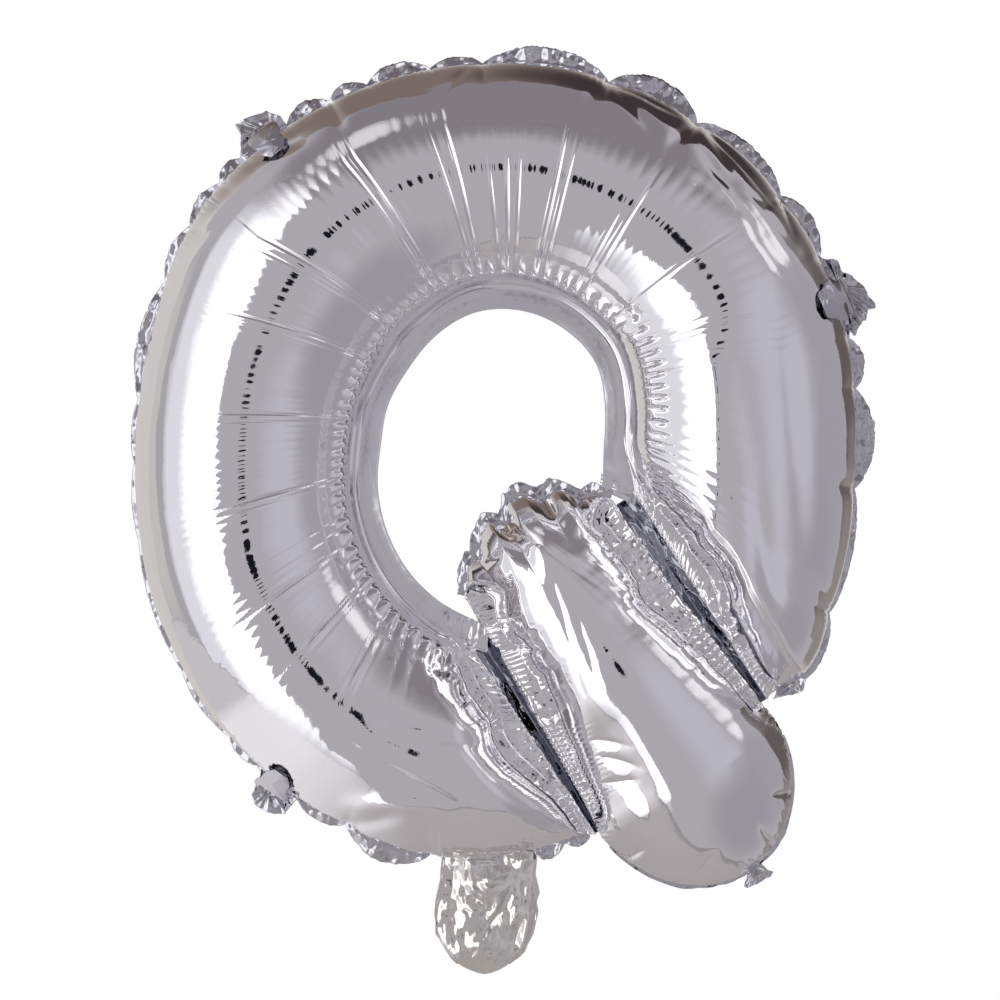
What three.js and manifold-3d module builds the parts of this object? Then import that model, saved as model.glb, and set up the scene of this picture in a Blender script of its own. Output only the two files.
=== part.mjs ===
import * as THREE from "three";
import Module from "manifold-3d";
import { mergeVertices } from "three/addons/utils/BufferGeometryUtils.js";

// Letter Q foil balloon, inflated. Millimetres, +Z up, the front faces -Y.
// The origin is the middle of the letter's hole, on the plane where the two foils are welded.

const wasm = await Module();
wasm.setup();

// Thickness of the foil walls and welds, and the clearance kept between pieces
const foilWall = 1.0;
const weldThickness = 0.7;
const clearance = 0.3;
const rimPlane = weldThickness / 2 + clearance;

// Inflated depth of each half, as a share of the width of its tube
const fullness = 0.465;

// Bowl outline every 20 degrees from -60: edge of the hole, inner weld, outer weld
const bowlFirstAngle = -60;
const bowlAngleStep = 20;
const bowlRows = [
  { hole: 58.0, inner: 67.0, outer: 168.0 },
  { hole: 50.0, inner: 61.5, outer: 161.5 },
  { hole: 44.5, inner: 56.0, outer: 152.0 },
  { hole: 43.0, inner: 51.2, outer: 149.0 },
  { hole: 46.2, inner: 54.5, outer: 153.0 },
  { hole: 52.0, inner: 60.4, outer: 156.8 },
  { hole: 54.9, inner: 63.3, outer: 158.7 },
  { hole: 56.4, inner: 64.9, outer: 159.2 },
  { hole: 56.0, inner: 64.3, outer: 159.5 },
  { hole: 52.7, inner: 61.0, outer: 160.0 },
  { hole: 49.5, inner: 57.9, outer: 158.8 },
  { hole: 49.3, inner: 57.2, outer: 153.2 },
  { hole: 49.5, inner: 57.9, outer: 151.6 },
  { hole: 53.9, inner: 62.0, outer: 156.6 },
  { hole: 59.9, inner: 68.3, outer: 163.3 },
  { hole: 66.8, inner: 75.8, outer: 169.3 },
  { hole: 73.0, inner: 83.5, outer: 174.0 },
  { hole: 78.0, inner: 89.0, outer: 168.0 },
  { hole: 82.0, inner: 93.0, outer: 165.0 },
];

// Rim of the bowl: each row is a pinch angle and the height of the scallop that follows it
const rimScallops = [
  { from: -38, to: -27, height: 3.0 },
  { from: -27, to: -7, height: 2.5 },
  { from: -7, to: 9, height: 7.0 },
  { from: 9, to: 17, height: 5.0 },
  { from: 17, to: 30.5, height: 2.0 },
  { from: 30.5, to: 41.6, height: 5.5 },
  { from: 41.6, to: 58.5, height: 5.0 },
  { from: 58.5, to: 73.3, height: 8.0 },
  { from: 73.3, to: 92.6, height: 7.5 },
  { from: 92.6, to: 100.5, height: 4.0 },
  { from: 100.5, to: 110.3, height: 6.0 },
  { from: 110.3, to: 116.4, height: 4.5 },
  { from: 116.4, to: 123.6, height: 5.5 },
  { from: 123.6, to: 131.8, height: 2.0 },
  { from: 131.8, to: 136.9, height: 5.0 },
  { from: 136.9, to: 144.8, height: 4.5 },
  { from: 144.8, to: 154, height: 4.0 },
  { from: 154, to: 172.7, height: 5.0 },
  { from: 172.7, to: 182.7, height: 2.5 },
  { from: 182.7, to: 194.9, height: 2.0 },
  { from: 194.9, to: 215.2, height: 2.0 },
  { from: 215.2, to: 227.2, height: 2.5 },
  { from: 227.2, to: 232.8, height: 3.0 },
  { from: 232.8, to: 240, height: 2.0 },
  { from: 240, to: 247.9, height: 4.0 },
  { from: 247.9, to: 260.3, height: 7.0 },
];
const rimCorner = { from: 277.3, to: 283, height: 3.0 };
const leastMargin = 1.0;
const scallopSquareness = 0.8;

// Welds reach this far under the foils' edges
const underlap = 1.6;

// Tail axis, measured from the origin, and its own coordinates: along it and across it
const tailTilt = THREE.MathUtils.degToRad(-57.5);
const tailTop = { reach: 24, droop: 22, closing: 30 };
const tailTip = { reach: 155, round: 50, closing: 48 };
const tailSides = [
  { along: 20, left: -45.5, right: 26.5 },
  { along: 55, left: -46.6, right: 27.4 },
  { along: 95, left: -46.8, right: 28.2 },
  { along: 120, left: -47.6, right: 31.0 },
  { along: 160, left: -51.7, right: 35.0 },
  { along: 220, left: -51.7, right: 35.0 },
];

// Ends of the bowl beside the tail, from the hole to the rim, in the tail's coordinates
const leftSlit = { from: [62, -54.6], to: [158, -52.8], webFrom: 0 };
const rightSlit = { from: [47, 36.0], to: [149, 36.4], webFrom: 0.05 };
const bowlClosing = 32;
const slitPull = 14;

// Rough lengths of the bowl and the tail along their middles, and the share of each near its ends
const bowlRun = { length: 550, ends: bowlClosing };
const tailRun = { length: 170, ends: 36 };

// Neck below the bowl, with its filling sleeve
const neck = {
  middle: -5.4, half: 20.6, straight: 26.5, bulge: 3.2, thinning: 0.75, margin: 0.8, mouthTurn: 52,
};
const sleeve = { half: 9, top: -166, bottom: -215 };

// Margins that stand past the foils: around the tail's top in the hole, and around its tip
const tailMargins = { top: 4.5, tip: 1.5, tipFrom: 0.06, cornerTaper: 0.4 };

// Hole weld: the angles where its two edges end beside the tail
const holeWeld = { edge: [-21, 262], weld: [-22.5, 259.4], steps: 92 };

// Hanging tabs: outlines as points in X and Z, and for two of them the flap folded to the front.
// A flap's path holds distance from the origin, depth towards the front and half width.
const upperLeftTab = {
  arc: { from: 124.2, to: 131.2 },
  outline: [[-107.6, 124.4], [-110.3, 132.8], [-104, 136.5], [-97.4, 139], [-91.6, 136.9]],
  flapAngle: 127.4,
  flapPath: [[164.6, 0, 2.5], [165, 5, 4], [163.2, 12, 6], [159.6, 19, 7], [155, 25.5, 6.5], [151, 29.8, 3]],
};
const rightTab = {
  arc: { from: 18, to: 30 },
  outline: [[140.3, 77], [142.3, 72], [146.5, 70.3], [150.7, 66.6], [155.7, 59.1], [156.5, 56.6],
    [153.2, 56.2], [150.7, 50.4]],
  flapAngle: 23.2,
  flapPath: [[157.6, 0, 3], [158.6, 5, 5], [157, 12, 8], [153, 19.5, 8.5], [148, 26, 7.5], [143.8, 31, 4]],
};
const lowerLeftTab = {
  arc: { from: 233.4, to: 239.6 },
  outline: [[-88, -149], [-92.8, -152.3], [-97.4, -153.6], [-101.1, -150.7], [-103.2, -145.3]],
  flapAngle: 236.4,
  flapPath: [[173, 0, 5], [174, 5, 6.5], [172.6, 11, 7.5], [169, 17, 7], [164.6, 22.5, 5]],
};
const lowerRightTab = [
  [124.8, -98.9], [126.8, -100.5], [126.3, -102.6], [123.8, -104.9],
  [118.2, -106.2], [113.6, -107], [113.3, -104.4], [118.7, -99.6],
];
const tailTipTab = [[206.9, 1], [210.5, 2], [211.2, 0], [211.4, -8], [210.8, -13.5], [207.2, -13.2]];
const tabClearance = 0.4;
const tabMargin = 2.0;

const foilColour = 0xb9b7bb;
const backColour = 0xaeadb2;
const weldColour = 0xc6c4c8;
const tabColour = 0x77767c;
const neckColour = 0xd2cdc4;
const sleeveColour = 0xe4e4e6;

const foilFinish = (colour) =>
  new THREE.MeshStandardMaterial({ color: colour, roughness: 0.12, metalness: 1 });
const neckFinish = (colour) =>
  new THREE.MeshStandardMaterial({ color: colour, roughness: 0.35, metalness: 0.2 });

// Value of one column of the bowl table at an angle in degrees
function bowlRadius(angle, column) {
  const curve = bowlCurves[column];
  const share = (angle - bowlFirstAngle) / (bowlAngleStep * (bowlRows.length - 1));
  return curve.getPoint(THREE.MathUtils.clamp(share, 0, 1)).y;
}

function columnCurve(column) {
  const points = bowlRows.map((row, index) => new THREE.Vector2(index, row[column]));
  return new THREE.SplineCurve(points);
}

const bowlCurves = {
  hole: columnCurve("hole"),
  inner: columnCurve("inner"),
  outer: columnCurve("outer"),
};

function polar(angle, radius) {
  const turn = THREE.MathUtils.degToRad(angle);
  return new THREE.Vector2(radius * Math.cos(turn), radius * Math.sin(turn));
}

function tailPlace(along, across) {
  return new THREE.Vector2(along, across).rotateAround(new THREE.Vector2(), tailTilt);
}

function tailSide(along, column) {
  const next = Math.max(1, tailSides.findIndex((row) => row.along >= along));
  const [low, high] = [tailSides[next - 1], tailSides[next]];
  const share = (along - low.along) / (high.along - low.along);
  return THREE.MathUtils.lerp(low[column], high[column], share);
}

// Rise from a pinched edge: 0 on the edge, 1 once the distance passes the reach
function closing(distance, reach) {
  const left = 1 - THREE.MathUtils.clamp(distance / reach, 0, 1);
  return Math.sqrt(1 - left * left);
}

// Shares of a length, close together near both of its ends
function stations({ length, ends }, endSteps, middleSteps) {
  const shares = [];
  const first = ends / length;
  for (let step = 0; step < endSteps; step += 1) {
    shares.push(first * (1 - Math.cos((step / endSteps) * (Math.PI / 2))));
  }
  for (let step = 0; step <= middleSteps; step += 1) {
    shares.push(first + (1 - 2 * first) * (step / middleSteps));
  }
  for (let step = endSteps - 1; step >= 0; step -= 1) shares.push(1 - shares[step]);
  return shares;
}

// Closed thin shell between two surfaces that share a flat rim
function shell(shares, rows, surface, wall) {
  const positions = [];
  const indices = [];
  const columns = shares.length - 1;
  const width = rows + 1;
  const layer = (columns + 1) * width;
  for (const inset of [0, wall]) {
    for (const share of shares) {
      for (let row = 0; row <= rows; row += 1) positions.push(...surface(share, row / rows, inset));
    }
  }
  const quad = (a, b, c, d) => indices.push(a, b, c, a, c, d);
  for (let column = 0; column < columns; column += 1) {
    for (let row = 0; row < rows; row += 1) {
      const a = column * width + row;
      quad(a, a + 1, a + width + 1, a + width);
      quad(a + layer, a + layer + width, a + layer + width + 1, a + layer + 1);
    }
    const first = column * width;
    const last = first + rows;
    quad(first, first + width, first + width + layer, first + layer);
    quad(last, last + layer, last + width + layer, last + width);
  }
  for (let row = 0; row < rows; row += 1) {
    const end = columns * width + row;
    quad(row, row + layer, row + 1 + layer, row + 1);
    quad(end, end + 1, end + 1 + layer, end + layer);
  }
  return outward(positions, indices);
}

function signedVolume(positions, indices) {
  let volume = 0;
  const [a, b, c] = [new THREE.Vector3(), new THREE.Vector3(), new THREE.Vector3()];
  for (let i = 0; i < indices.length; i += 3) {
    a.fromArray(positions, indices[i] * 3);
    b.fromArray(positions, indices[i + 1] * 3);
    c.fromArray(positions, indices[i + 2] * 3);
    volume += a.dot(b.cross(c));
  }
  return volume;
}

// Geometry with every face turned to look out of the solid
function outward(positions, indices) {
  const flip = signedVolume(positions, indices) < 0;
  const ordered = [...indices];
  for (let i = 0; flip && i < ordered.length; i += 3) {
    [ordered[i + 1], ordered[i + 2]] = [ordered[i + 2], ordered[i + 1]];
  }
  const geometry = new THREE.BufferGeometry();
  geometry.setAttribute("position", new THREE.Float32BufferAttribute(positions, 3));
  geometry.setIndex(ordered);
  geometry.computeVertexNormals();
  return geometry;
}

// Thin solid on both sides of a curved sheet
function sheet(columns, rows, surface, wall) {
  const step = 1e-3;
  const [before, after] = [(share) => Math.max(0, share - step), (share) => Math.min(1, share + step)];
  const away = (share, across) => {
    const middle = surface(share, across);
    const along = surface(after(share), across).sub(surface(before(share), across));
    const over = surface(share, after(across)).sub(surface(share, before(across)));
    return { middle, normal: along.cross(over).normalize() };
  };
  const face = (share, across, inset) => {
    const { middle, normal } = away(share, across);
    return middle.addScaledVector(normal, inset - wall / 2);
  };
  const shares = Array.from({ length: columns + 1 }, (_, index) => index / columns);
  return shell(shares, rows, face, wall);
}

// Flat plate on the weld plane from an outline of points in X and Z
function plate(outline) {
  const shape = new THREE.Shape(outline);
  const geometry = new THREE.ExtrudeGeometry(shape, { depth: weldThickness, bevelEnabled: false });
  return geometry.rotateX(Math.PI / 2).translate(0, weldThickness / 2, 0);
}

function solidOf(geometry) {
  const bare = geometry.clone();
  bare.deleteAttribute("normal");
  bare.deleteAttribute("uv");
  const merged = mergeVertices(bare, 1e-4);
  return new wasm.Manifold(
    new wasm.Mesh({
      numProp: 3,
      vertProperties: new Float32Array(merged.attributes.position.array),
      triVerts: new Uint32Array(merged.index.array),
    }),
  );
}

function geometryOf(solid) {
  const mesh = solid.getMesh();
  const geometry = new THREE.BufferGeometry();
  geometry.setAttribute("position", new THREE.BufferAttribute(mesh.vertProperties, 3));
  geometry.setIndex(new THREE.BufferAttribute(mesh.triVerts, 1));
  geometry.computeVertexNormals();
  return geometry;
}

// Front or back foil from a surface function that gives X, Z and the height off the weld plane
function foil(side, shares, rows, lobe) {
  const surface = (share, across, inset) => {
    const { place, height } = lobe(share, across, inset);
    return new THREE.Vector3(place.x, side * (rimPlane + height), place.y);
  };
  return shell(shares, rows, surface, foilWall);
}

function slitPlace(slit, share, inset, away) {
  const along = THREE.MathUtils.lerp(slit.from[0], slit.to[0], share);
  const across = THREE.MathUtils.lerp(slit.from[1], slit.to[1], share);
  return tailPlace(along, across + away * inset);
}

function angleOf(place) {
  const angle = THREE.MathUtils.radToDeg(place.angle());
  return angle > 300 ? angle - 360 : angle;
}

// Bowl: share runs from the right slit round to the left one, across from the hole to the rim
function bowlLobe(share, across, inset) {
  const span = (1 - Math.cos(Math.PI * across)) / 2;
  const [right, left] = [slitPlace(rightSlit, span, inset, 1), slitPlace(leftSlit, span, inset, -1)];
  const [start, end] = [angleOf(right), angleOf(left)];
  const radiusAt = (angle) => {
    const inner = bowlRadius(angle, "inner") + inset;
    return THREE.MathUtils.lerp(inner, bowlRadius(angle, "outer") - inset, span);
  };
  const angle = THREE.MathUtils.lerp(start, end, share);
  const place = polar(angle, radiusAt(angle));
  const run = THREE.MathUtils.degToRad(end - start) * place.length();
  const pull = (distance) => Math.exp(-((distance / slitPull) ** 2));
  place.addScaledVector(right.sub(polar(start, radiusAt(start))), pull(share * run));
  place.addScaledVector(left.sub(polar(end, radiusAt(end))), pull((1 - share) * run));
  const width = bowlRadius(angle, "outer") - bowlRadius(angle, "inner");
  const rise = closing(share * run, bowlClosing) * closing((1 - share) * run, bowlClosing);
  return { place, height: (fullness * width - inset) * Math.sin(Math.PI * across) * rise };
}

// Tail: share runs from its top in the hole down to its tip, across from left to right
function tailLobe(share, across, inset) {
  const side = -Math.cos(Math.PI * across);
  const top = tailTop.reach + tailTop.droop * side * side + inset;
  const tip = tailTip.reach + tailTip.round * Math.sin(Math.PI * across) - inset;
  const along = THREE.MathUtils.lerp(top, tip, share);
  const [left, right] = [tailSide(along, "left"), tailSide(along, "right")];
  const half = (right - left) / 2 - inset;
  const rise = closing(along - top, tailTop.closing) * closing(tip - along, tailTip.closing);
  const height = (fullness * (right - left) - inset) * Math.sin(Math.PI * across) * rise;
  return { place: tailPlace(along, (left + right) / 2 + half * side), height };
}

// Height of the bowl's outer weld over a place on the neck's top edge, less the clearance
function neckTop(x) {
  const angle = 270 + THREE.MathUtils.radToDeg(Math.asin(x / bowlRadius(270, "outer")));
  return -Math.sqrt(bowlRadius(angle, "outer") ** 2 - x * x) - tabClearance;
}

// Neck: share runs from the balloon down to the mouth, across from left to right
function neckLobe(share, across, inset) {
  const side = -Math.cos(Math.PI * across);
  const half = neck.half - inset;
  const length = neck.straight + half * Math.sin(Math.PI * across);
  const down = length * share;
  const rise = closing(length - down, neck.half);
  const place = new THREE.Vector2(neck.middle + half * side, neckTop(neck.middle + half * side) - down);
  return { place, height: (neck.bulge - inset * neck.thinning) * Math.sin(Math.PI * across) * rise };
}

// Margin of the rim, a strip outside the bowl that swells into a scallop between two pinches
function rimPlate(scallops) {
  const outer = [];
  const inner = [];
  const steps = 6;
  for (const { from, to, height } of scallops) {
    for (let step = 0; step <= steps; step += 1) {
      const angle = THREE.MathUtils.lerp(from, to, step / steps);
      const swell = leastMargin + (height - leastMargin) *
        Math.sin((Math.PI * step) / steps) ** scallopSquareness;
      const seam = bowlRadius(angle, "outer");
      if (step > 0 || outer.length === 0) {
        outer.push(polar(angle, seam + swell));
        inner.push(polar(angle, seam - underlap));
      }
    }
  }
  return plate([...outer, ...inner.reverse()]);
}

// Flat ring around the hole, from its edge to the bowl's inner weld
function holePlate() {
  const edge = [];
  const weld = [];
  for (let step = 0; step <= holeWeld.steps; step += 1) {
    const share = step / holeWeld.steps;
    const edgeAngle = THREE.MathUtils.lerp(...holeWeld.edge, share);
    const weldAngle = THREE.MathUtils.lerp(...holeWeld.weld, share);
    edge.push(polar(edgeAngle, bowlRadius(edgeAngle, "hole")));
    weld.push(polar(weldAngle, bowlRadius(weldAngle, "inner") + underlap));
  }
  return plate([...weld, ...edge.reverse()]);
}

// Flat web in the slit between the bowl and the tail
function webPlate(slit, column, away) {
  const steps = 12;
  const bowlSide = [];
  const tailEdge = [];
  for (let step = 0; step <= steps; step += 1) {
    const share = THREE.MathUtils.lerp(slit.webFrom, 1, step / steps);
    const along = THREE.MathUtils.lerp(slit.from[0], slit.to[0], share);
    bowlSide.push(slitPlace(slit, share, underlap, away));
    tailEdge.push(tailPlace(along, tailSide(along, column) - away * underlap));
  }
  return plate([...bowlSide, ...tailEdge.reverse()]);
}

// Margin of the tail's top in the hole, or of its tip
function tailPlate(edgeAt, out, margin, from) {
  const steps = 24;
  const outer = [];
  const inner = [];
  for (let step = 0; step <= steps; step += 1) {
    const across = THREE.MathUtils.lerp(from, 1 - from, step / steps);
    const side = -Math.cos(Math.PI * across);
    const edge = edgeAt(side);
    const [left, right] = [tailSide(edge, "left"), tailSide(edge, "right")];
    const middle = (left + right) / 2;
    const half = (right - left) / 2;
    const beyond = edge + out * margin * (1 - tailMargins.cornerTaper * side * side);
    outer.push(tailPlace(beyond, middle + (half + margin / 2) * side));
    inner.push(tailPlace(edge - out * underlap, middle + (half - underlap) * side));
  }
  return plate([...outer, ...inner.reverse()]);
}

const tailTopEdge = (side) => tailTop.reach + tailTop.droop * side * side;
const tailTipEdge = (side) => tailTip.reach + tailTip.round * Math.sqrt(1 - side * side);

// Side weld of the neck, from the balloon round to the open mouth
function neckPlate(sign) {
  const outer = [];
  const inner = [];
  const steps = 8;
  const reach = { out: neck.half + neck.margin, in: neck.half - underlap };
  const topX = neck.middle + sign * neck.half;
  const top = neckTop(topX) - tabClearance;
  const bend = neckTop(neck.middle) - neck.straight;
  for (let step = 0; step <= steps; step += 1) {
    const turn = THREE.MathUtils.degToRad((neck.mouthTurn * step) / steps);
    const along = new THREE.Vector2(sign * Math.cos(turn), -Math.sin(turn));
    const middle = new THREE.Vector2(neck.middle, bend);
    outer.push(middle.clone().addScaledVector(along, reach.out));
    inner.push(middle.addScaledVector(along, reach.in));
  }
  outer.unshift(new THREE.Vector2(neck.middle + sign * reach.out, top));
  inner.unshift(new THREE.Vector2(neck.middle + sign * reach.in, top));
  return plate([...outer, ...inner.reverse()]);
}

function sleevePlate() {
  const [left, right] = [neck.middle - sleeve.half, neck.middle + sleeve.half];
  const corners = [[left, sleeve.top], [right, sleeve.top], [right, sleeve.bottom], [left, sleeve.bottom]];
  return plate(corners.map(([x, z]) => new THREE.Vector2(x, z)));
}

function outlinePoints(outline) {
  return outline.map(([x, z]) => new THREE.Vector2(x, z));
}

// Flap folded to the front from the rim, over the bowl's outer band
function flapSheet({ flapAngle, flapPath }) {
  const path = new THREE.CatmullRomCurve3(flapPath.map((row) => new THREE.Vector3(...row)));
  const tangent = polar(flapAngle + 90, 1);
  return sheet(10, 4, (share, across) => {
    const { x: radius, y: depth, z: half } = path.getPoint(share);
    const place = polar(flapAngle, radius).addScaledVector(tangent, (2 * across - 1) * half);
    return new THREE.Vector3(place.x, -depth, place.y);
  }, weldThickness);
}

// Tab outside the rim, with its flap
function rimTab(tab) {
  const steps = 6;
  const arc = [];
  for (let step = 0; step <= steps; step += 1) {
    const angle = THREE.MathUtils.lerp(tab.arc.from, tab.arc.to, step / steps);
    arc.push(polar(angle, bowlRadius(angle, "outer") + tabMargin + tabClearance));
  }
  const flat = solidOf(plate([...arc, ...outlinePoints(tab.outline)]));
  return geometryOf(flat.add(solidOf(flapSheet(tab))));
}

const group = new THREE.Group();

function add(name, geometry, material) {
  const mesh = new THREE.Mesh(geometry, material);
  mesh.name = name;
  group.add(mesh);
}

const front = -1;
const back = 1;
const bowlShares = stations(bowlRun, 5, 48);
const tailShares = stations(tailRun, 5, 8);
const neckSteps = 8;
const neckTurns = Array.from({ length: neckSteps + 1 }, (_, index) => (index / neckSteps) * (Math.PI / 2));
const neckShares = neckTurns.map(Math.sin);

add("bowl_front_foil", foil(front, bowlShares, 10, bowlLobe), foilFinish(foilColour));
add("bowl_back_foil", foil(back, bowlShares, 10, bowlLobe), foilFinish(backColour));
add("tail_front_foil", foil(front, tailShares, 12, tailLobe), foilFinish(foilColour));
add("tail_back_foil", foil(back, tailShares, 12, tailLobe), foilFinish(backColour));
add("bowl_rim_weld", rimPlate(rimScallops), foilFinish(weldColour));
add("bowl_corner_weld", rimPlate([rimCorner]), foilFinish(weldColour));
add("hole_weld", holePlate(), foilFinish(weldColour));
add("left_web", webPlate(leftSlit, "left", -1), foilFinish(weldColour));
add("right_web", webPlate(rightSlit, "right", 1), foilFinish(weldColour));
const { top, tip, tipFrom } = tailMargins;
add("tail_top_weld", tailPlate(tailTopEdge, -1, top, 0), foilFinish(weldColour));
add("tail_tip_weld", tailPlate(tailTipEdge, 1, tip, tipFrom), foilFinish(weldColour));
add("upper_left_tab", rimTab(upperLeftTab), foilFinish(tabColour));
add("right_tab", rimTab(rightTab), foilFinish(tabColour));
add("lower_left_tab", rimTab(lowerLeftTab), foilFinish(tabColour));
add("lower_right_tab", plate(outlinePoints(lowerRightTab)), foilFinish(tabColour));
const tipTab = tailTipTab.map(([along, across]) => tailPlace(along, across));
add("tail_tip_tab", plate(tipTab), foilFinish(tabColour));
add("neck_front_film", foil(front, neckShares, 8, neckLobe), neckFinish(neckColour));
add("neck_back_film", foil(back, neckShares, 8, neckLobe), neckFinish(neckColour));
add("neck_left_weld", neckPlate(-1), neckFinish(neckColour));
add("neck_right_weld", neckPlate(1), neckFinish(neckColour));
add("valve_sleeve", sleevePlate(), neckFinish(sleeveColour));

export default group;
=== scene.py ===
import logging
import math
from collections.abc import Iterator
from dataclasses import dataclass, replace
from enum import Enum

import bmesh
import bpy
import numpy as np
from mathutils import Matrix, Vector


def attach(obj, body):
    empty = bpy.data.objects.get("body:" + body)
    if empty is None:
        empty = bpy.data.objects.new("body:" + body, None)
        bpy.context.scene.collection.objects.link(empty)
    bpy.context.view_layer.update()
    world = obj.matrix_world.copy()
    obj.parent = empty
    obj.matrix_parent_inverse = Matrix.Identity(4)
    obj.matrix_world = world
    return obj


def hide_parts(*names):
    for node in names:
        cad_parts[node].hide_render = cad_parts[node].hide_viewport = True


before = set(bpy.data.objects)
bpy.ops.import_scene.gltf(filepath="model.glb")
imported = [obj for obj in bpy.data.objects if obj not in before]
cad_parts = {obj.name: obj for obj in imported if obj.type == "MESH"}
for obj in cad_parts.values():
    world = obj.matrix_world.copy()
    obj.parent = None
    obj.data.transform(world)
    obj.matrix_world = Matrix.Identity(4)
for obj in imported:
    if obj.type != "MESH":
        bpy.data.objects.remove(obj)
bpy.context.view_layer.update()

# Lengths in this file are millimetres, and MM turns them into the frame's metres
MM = 0.001
ROOT_BODY = "root"

# Thickness of the welded films and of the tabs, and how far a margin reaches under the inflated film
WELD_THICKNESS = 0.12
TAB_THICKNESS = 0.1
WELD_TUCK = 1.2

# Shift along the chance values that gives the second side of a film draws of its own
OTHER_DRAWS = 200

# Creases and tabs are placed on a drawing grid: width of a step, and where the middle of the hole is
GRID_STEP = 0.4162
GRID_MIDDLE = (500, 445)

Array = np.ndarray
Spot = tuple[float, float]
Triple = tuple[float, float, float]
Colour = tuple[float, float, float, float]

log = logging.getLogger("foil_letter")


class Side(Enum):
    """Which half of the balloon a film belongs to; the value is its direction along Y."""

    FRONT = -1
    BACK = 1

    @property
    def word(self) -> str:
        """Its word in the names of pieces."""
        return self.name.lower()


def eased(share: Array) -> Array:
    """Share with level ends."""
    return share * share * (3 - 2 * share)


def smooth_step(low: float, high: float, value: Array) -> Array:
    """Ramp with level ends from 0 at low to 1 at high, which may be the smaller of the two."""
    return eased(np.clip((value - low) / (high - low), 0, 1))


def window(value: Array, start: float, full: float, fading: float, end: float) -> Array:
    """Ramp up between start and full, and down again between fading and end."""
    return smooth_step(start, full, value) * smooth_step(end, fading, value)


def hill(offset: Array, width: float) -> Array:
    """Round hill, 1 where there is no offset."""
    return np.exp(-(offset / width) ** 2)


def spike(offset: Array, width: float) -> Array:
    """Keen ridge, 1 where there is no offset."""
    return np.exp(-np.abs(offset) / width)


def blend(first: Array, second: Array, share: Array) -> Array:
    """Value between first and second at a share of the way."""
    return first + (second - first) * share


def arc_share(share: Array) -> Array:
    """Share of a width that is reached at a share of the half circle over it."""
    return (1 - np.cos(math.pi * share)) / 2


def ribbed(phase: Array) -> Array:
    """Profile of pressed pleats: round on top and sharp in the valleys, with a mean near zero."""
    return np.abs(np.cos(math.pi * phase)) - 2 / math.pi


def closing(distance: Array, reach: float) -> Array:
    """Round rise from a pinched edge: 0 on the edge and 1 past the reach."""
    left = 1 - np.clip(distance / reach, 0, 1)
    return np.sqrt(1 - left * left)


def crowded(fine: Array, crowd: Array, count: int) -> Array:
    """Places along a run, closer together where the crowd is greater.

    Args:
        fine: Fine even places of the run.
        crowd: How close together the new places are to be at each of them.
        count: Number of steps between the new places.

    Returns:
        The new places.
    """
    place = np.linspace(0, 1, count + 1)
    gone = np.concatenate([[0], np.cumsum((crowd[1:] + crowd[:-1]) / 2)])
    return np.interp(place, gone / gone[-1], fine)


def lattice(columns: int, rows: int, low: float = 0, high: float = 1) -> list[Array]:
    """Even places along a film, from low to high, and across it, from 0 to 1."""
    return np.meshgrid(np.linspace(low, high, columns + 1), np.linspace(0, 1, rows + 1), indexing="ij")


class Grain:
    """Repeatable smooth chance values.

    Each row of a plane reads the one table of values from a place of its own.
    """

    row_jump = 57.31
    facet_row_jump = 131
    layer_jump = 11.3

    def __init__(self, seed: int) -> None:
        """Draws the table of values."""
        self.values = np.random.default_rng(seed).uniform(-1, 1, 8192)

    def of(self, index: Array) -> Array:
        """Value that belongs to a whole number."""
        return self.values[np.asarray(index).astype(int) % self.values.size]

    def along(self, place: Array) -> Array:
        """Smooth value along one axis, with a new draw at each whole number."""
        cell = np.floor(place)
        return blend(self.of(cell), self.of(cell + 1), eased(place - cell))

    def over(self, across: Array, along: Array) -> Array:
        """Smooth value over a plane, with a new draw at each crossing of whole numbers.

        Args:
            across: First coordinate of each place.
            along: Second coordinate of each place.

        Returns:
            Value from -1 to 1.
        """
        row = np.floor(along)
        low, high = (self.along(across + line * self.row_jump) for line in (row, row + 1))
        return blend(low, high, eased(along - row))

    def facets(self, x: Array, z: Array, size: float) -> Array:
        """Crumple of flat facets with keen edges, like foil that was folded by hand.

        Args:
            x: First coordinate of each place.
            z: Second coordinate of each place.
            size: Usual width of a facet.

        Returns:
            Height from about -1 to 1.
        """
        total = np.zeros_like(x)
        layers = (0.6, 1.0, 0.6), (1.9, 0.62, 0.35), (2.7, 0.36, 0.18)
        for layer, (turn, scale, share) in enumerate(layers):
            first = (x * math.cos(turn) + z * math.sin(turn)) / (size * scale) + self.layer_jump * layer
            second = (z * math.cos(turn) - x * math.sin(turn)) / (size * scale * 1.6)
            cell, row = np.floor(first), np.floor(second)
            part, rest = first - cell, second - row
            rise = part + rest > 1
            near = np.where(rise, 1, 0)
            corner = self.of(cell + near + (row + near) * self.facet_row_jump)
            right = self.of(cell + 1 + row * self.facet_row_jump) - corner
            upper = self.of(cell + (row + 1) * self.facet_row_jump) - corner
            to_right = np.where(rise, 1 - rest, part)
            to_upper = np.where(rise, 1 - part, rest)
            total += share * (corner + right * to_right + upper * to_upper)
        return total


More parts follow.
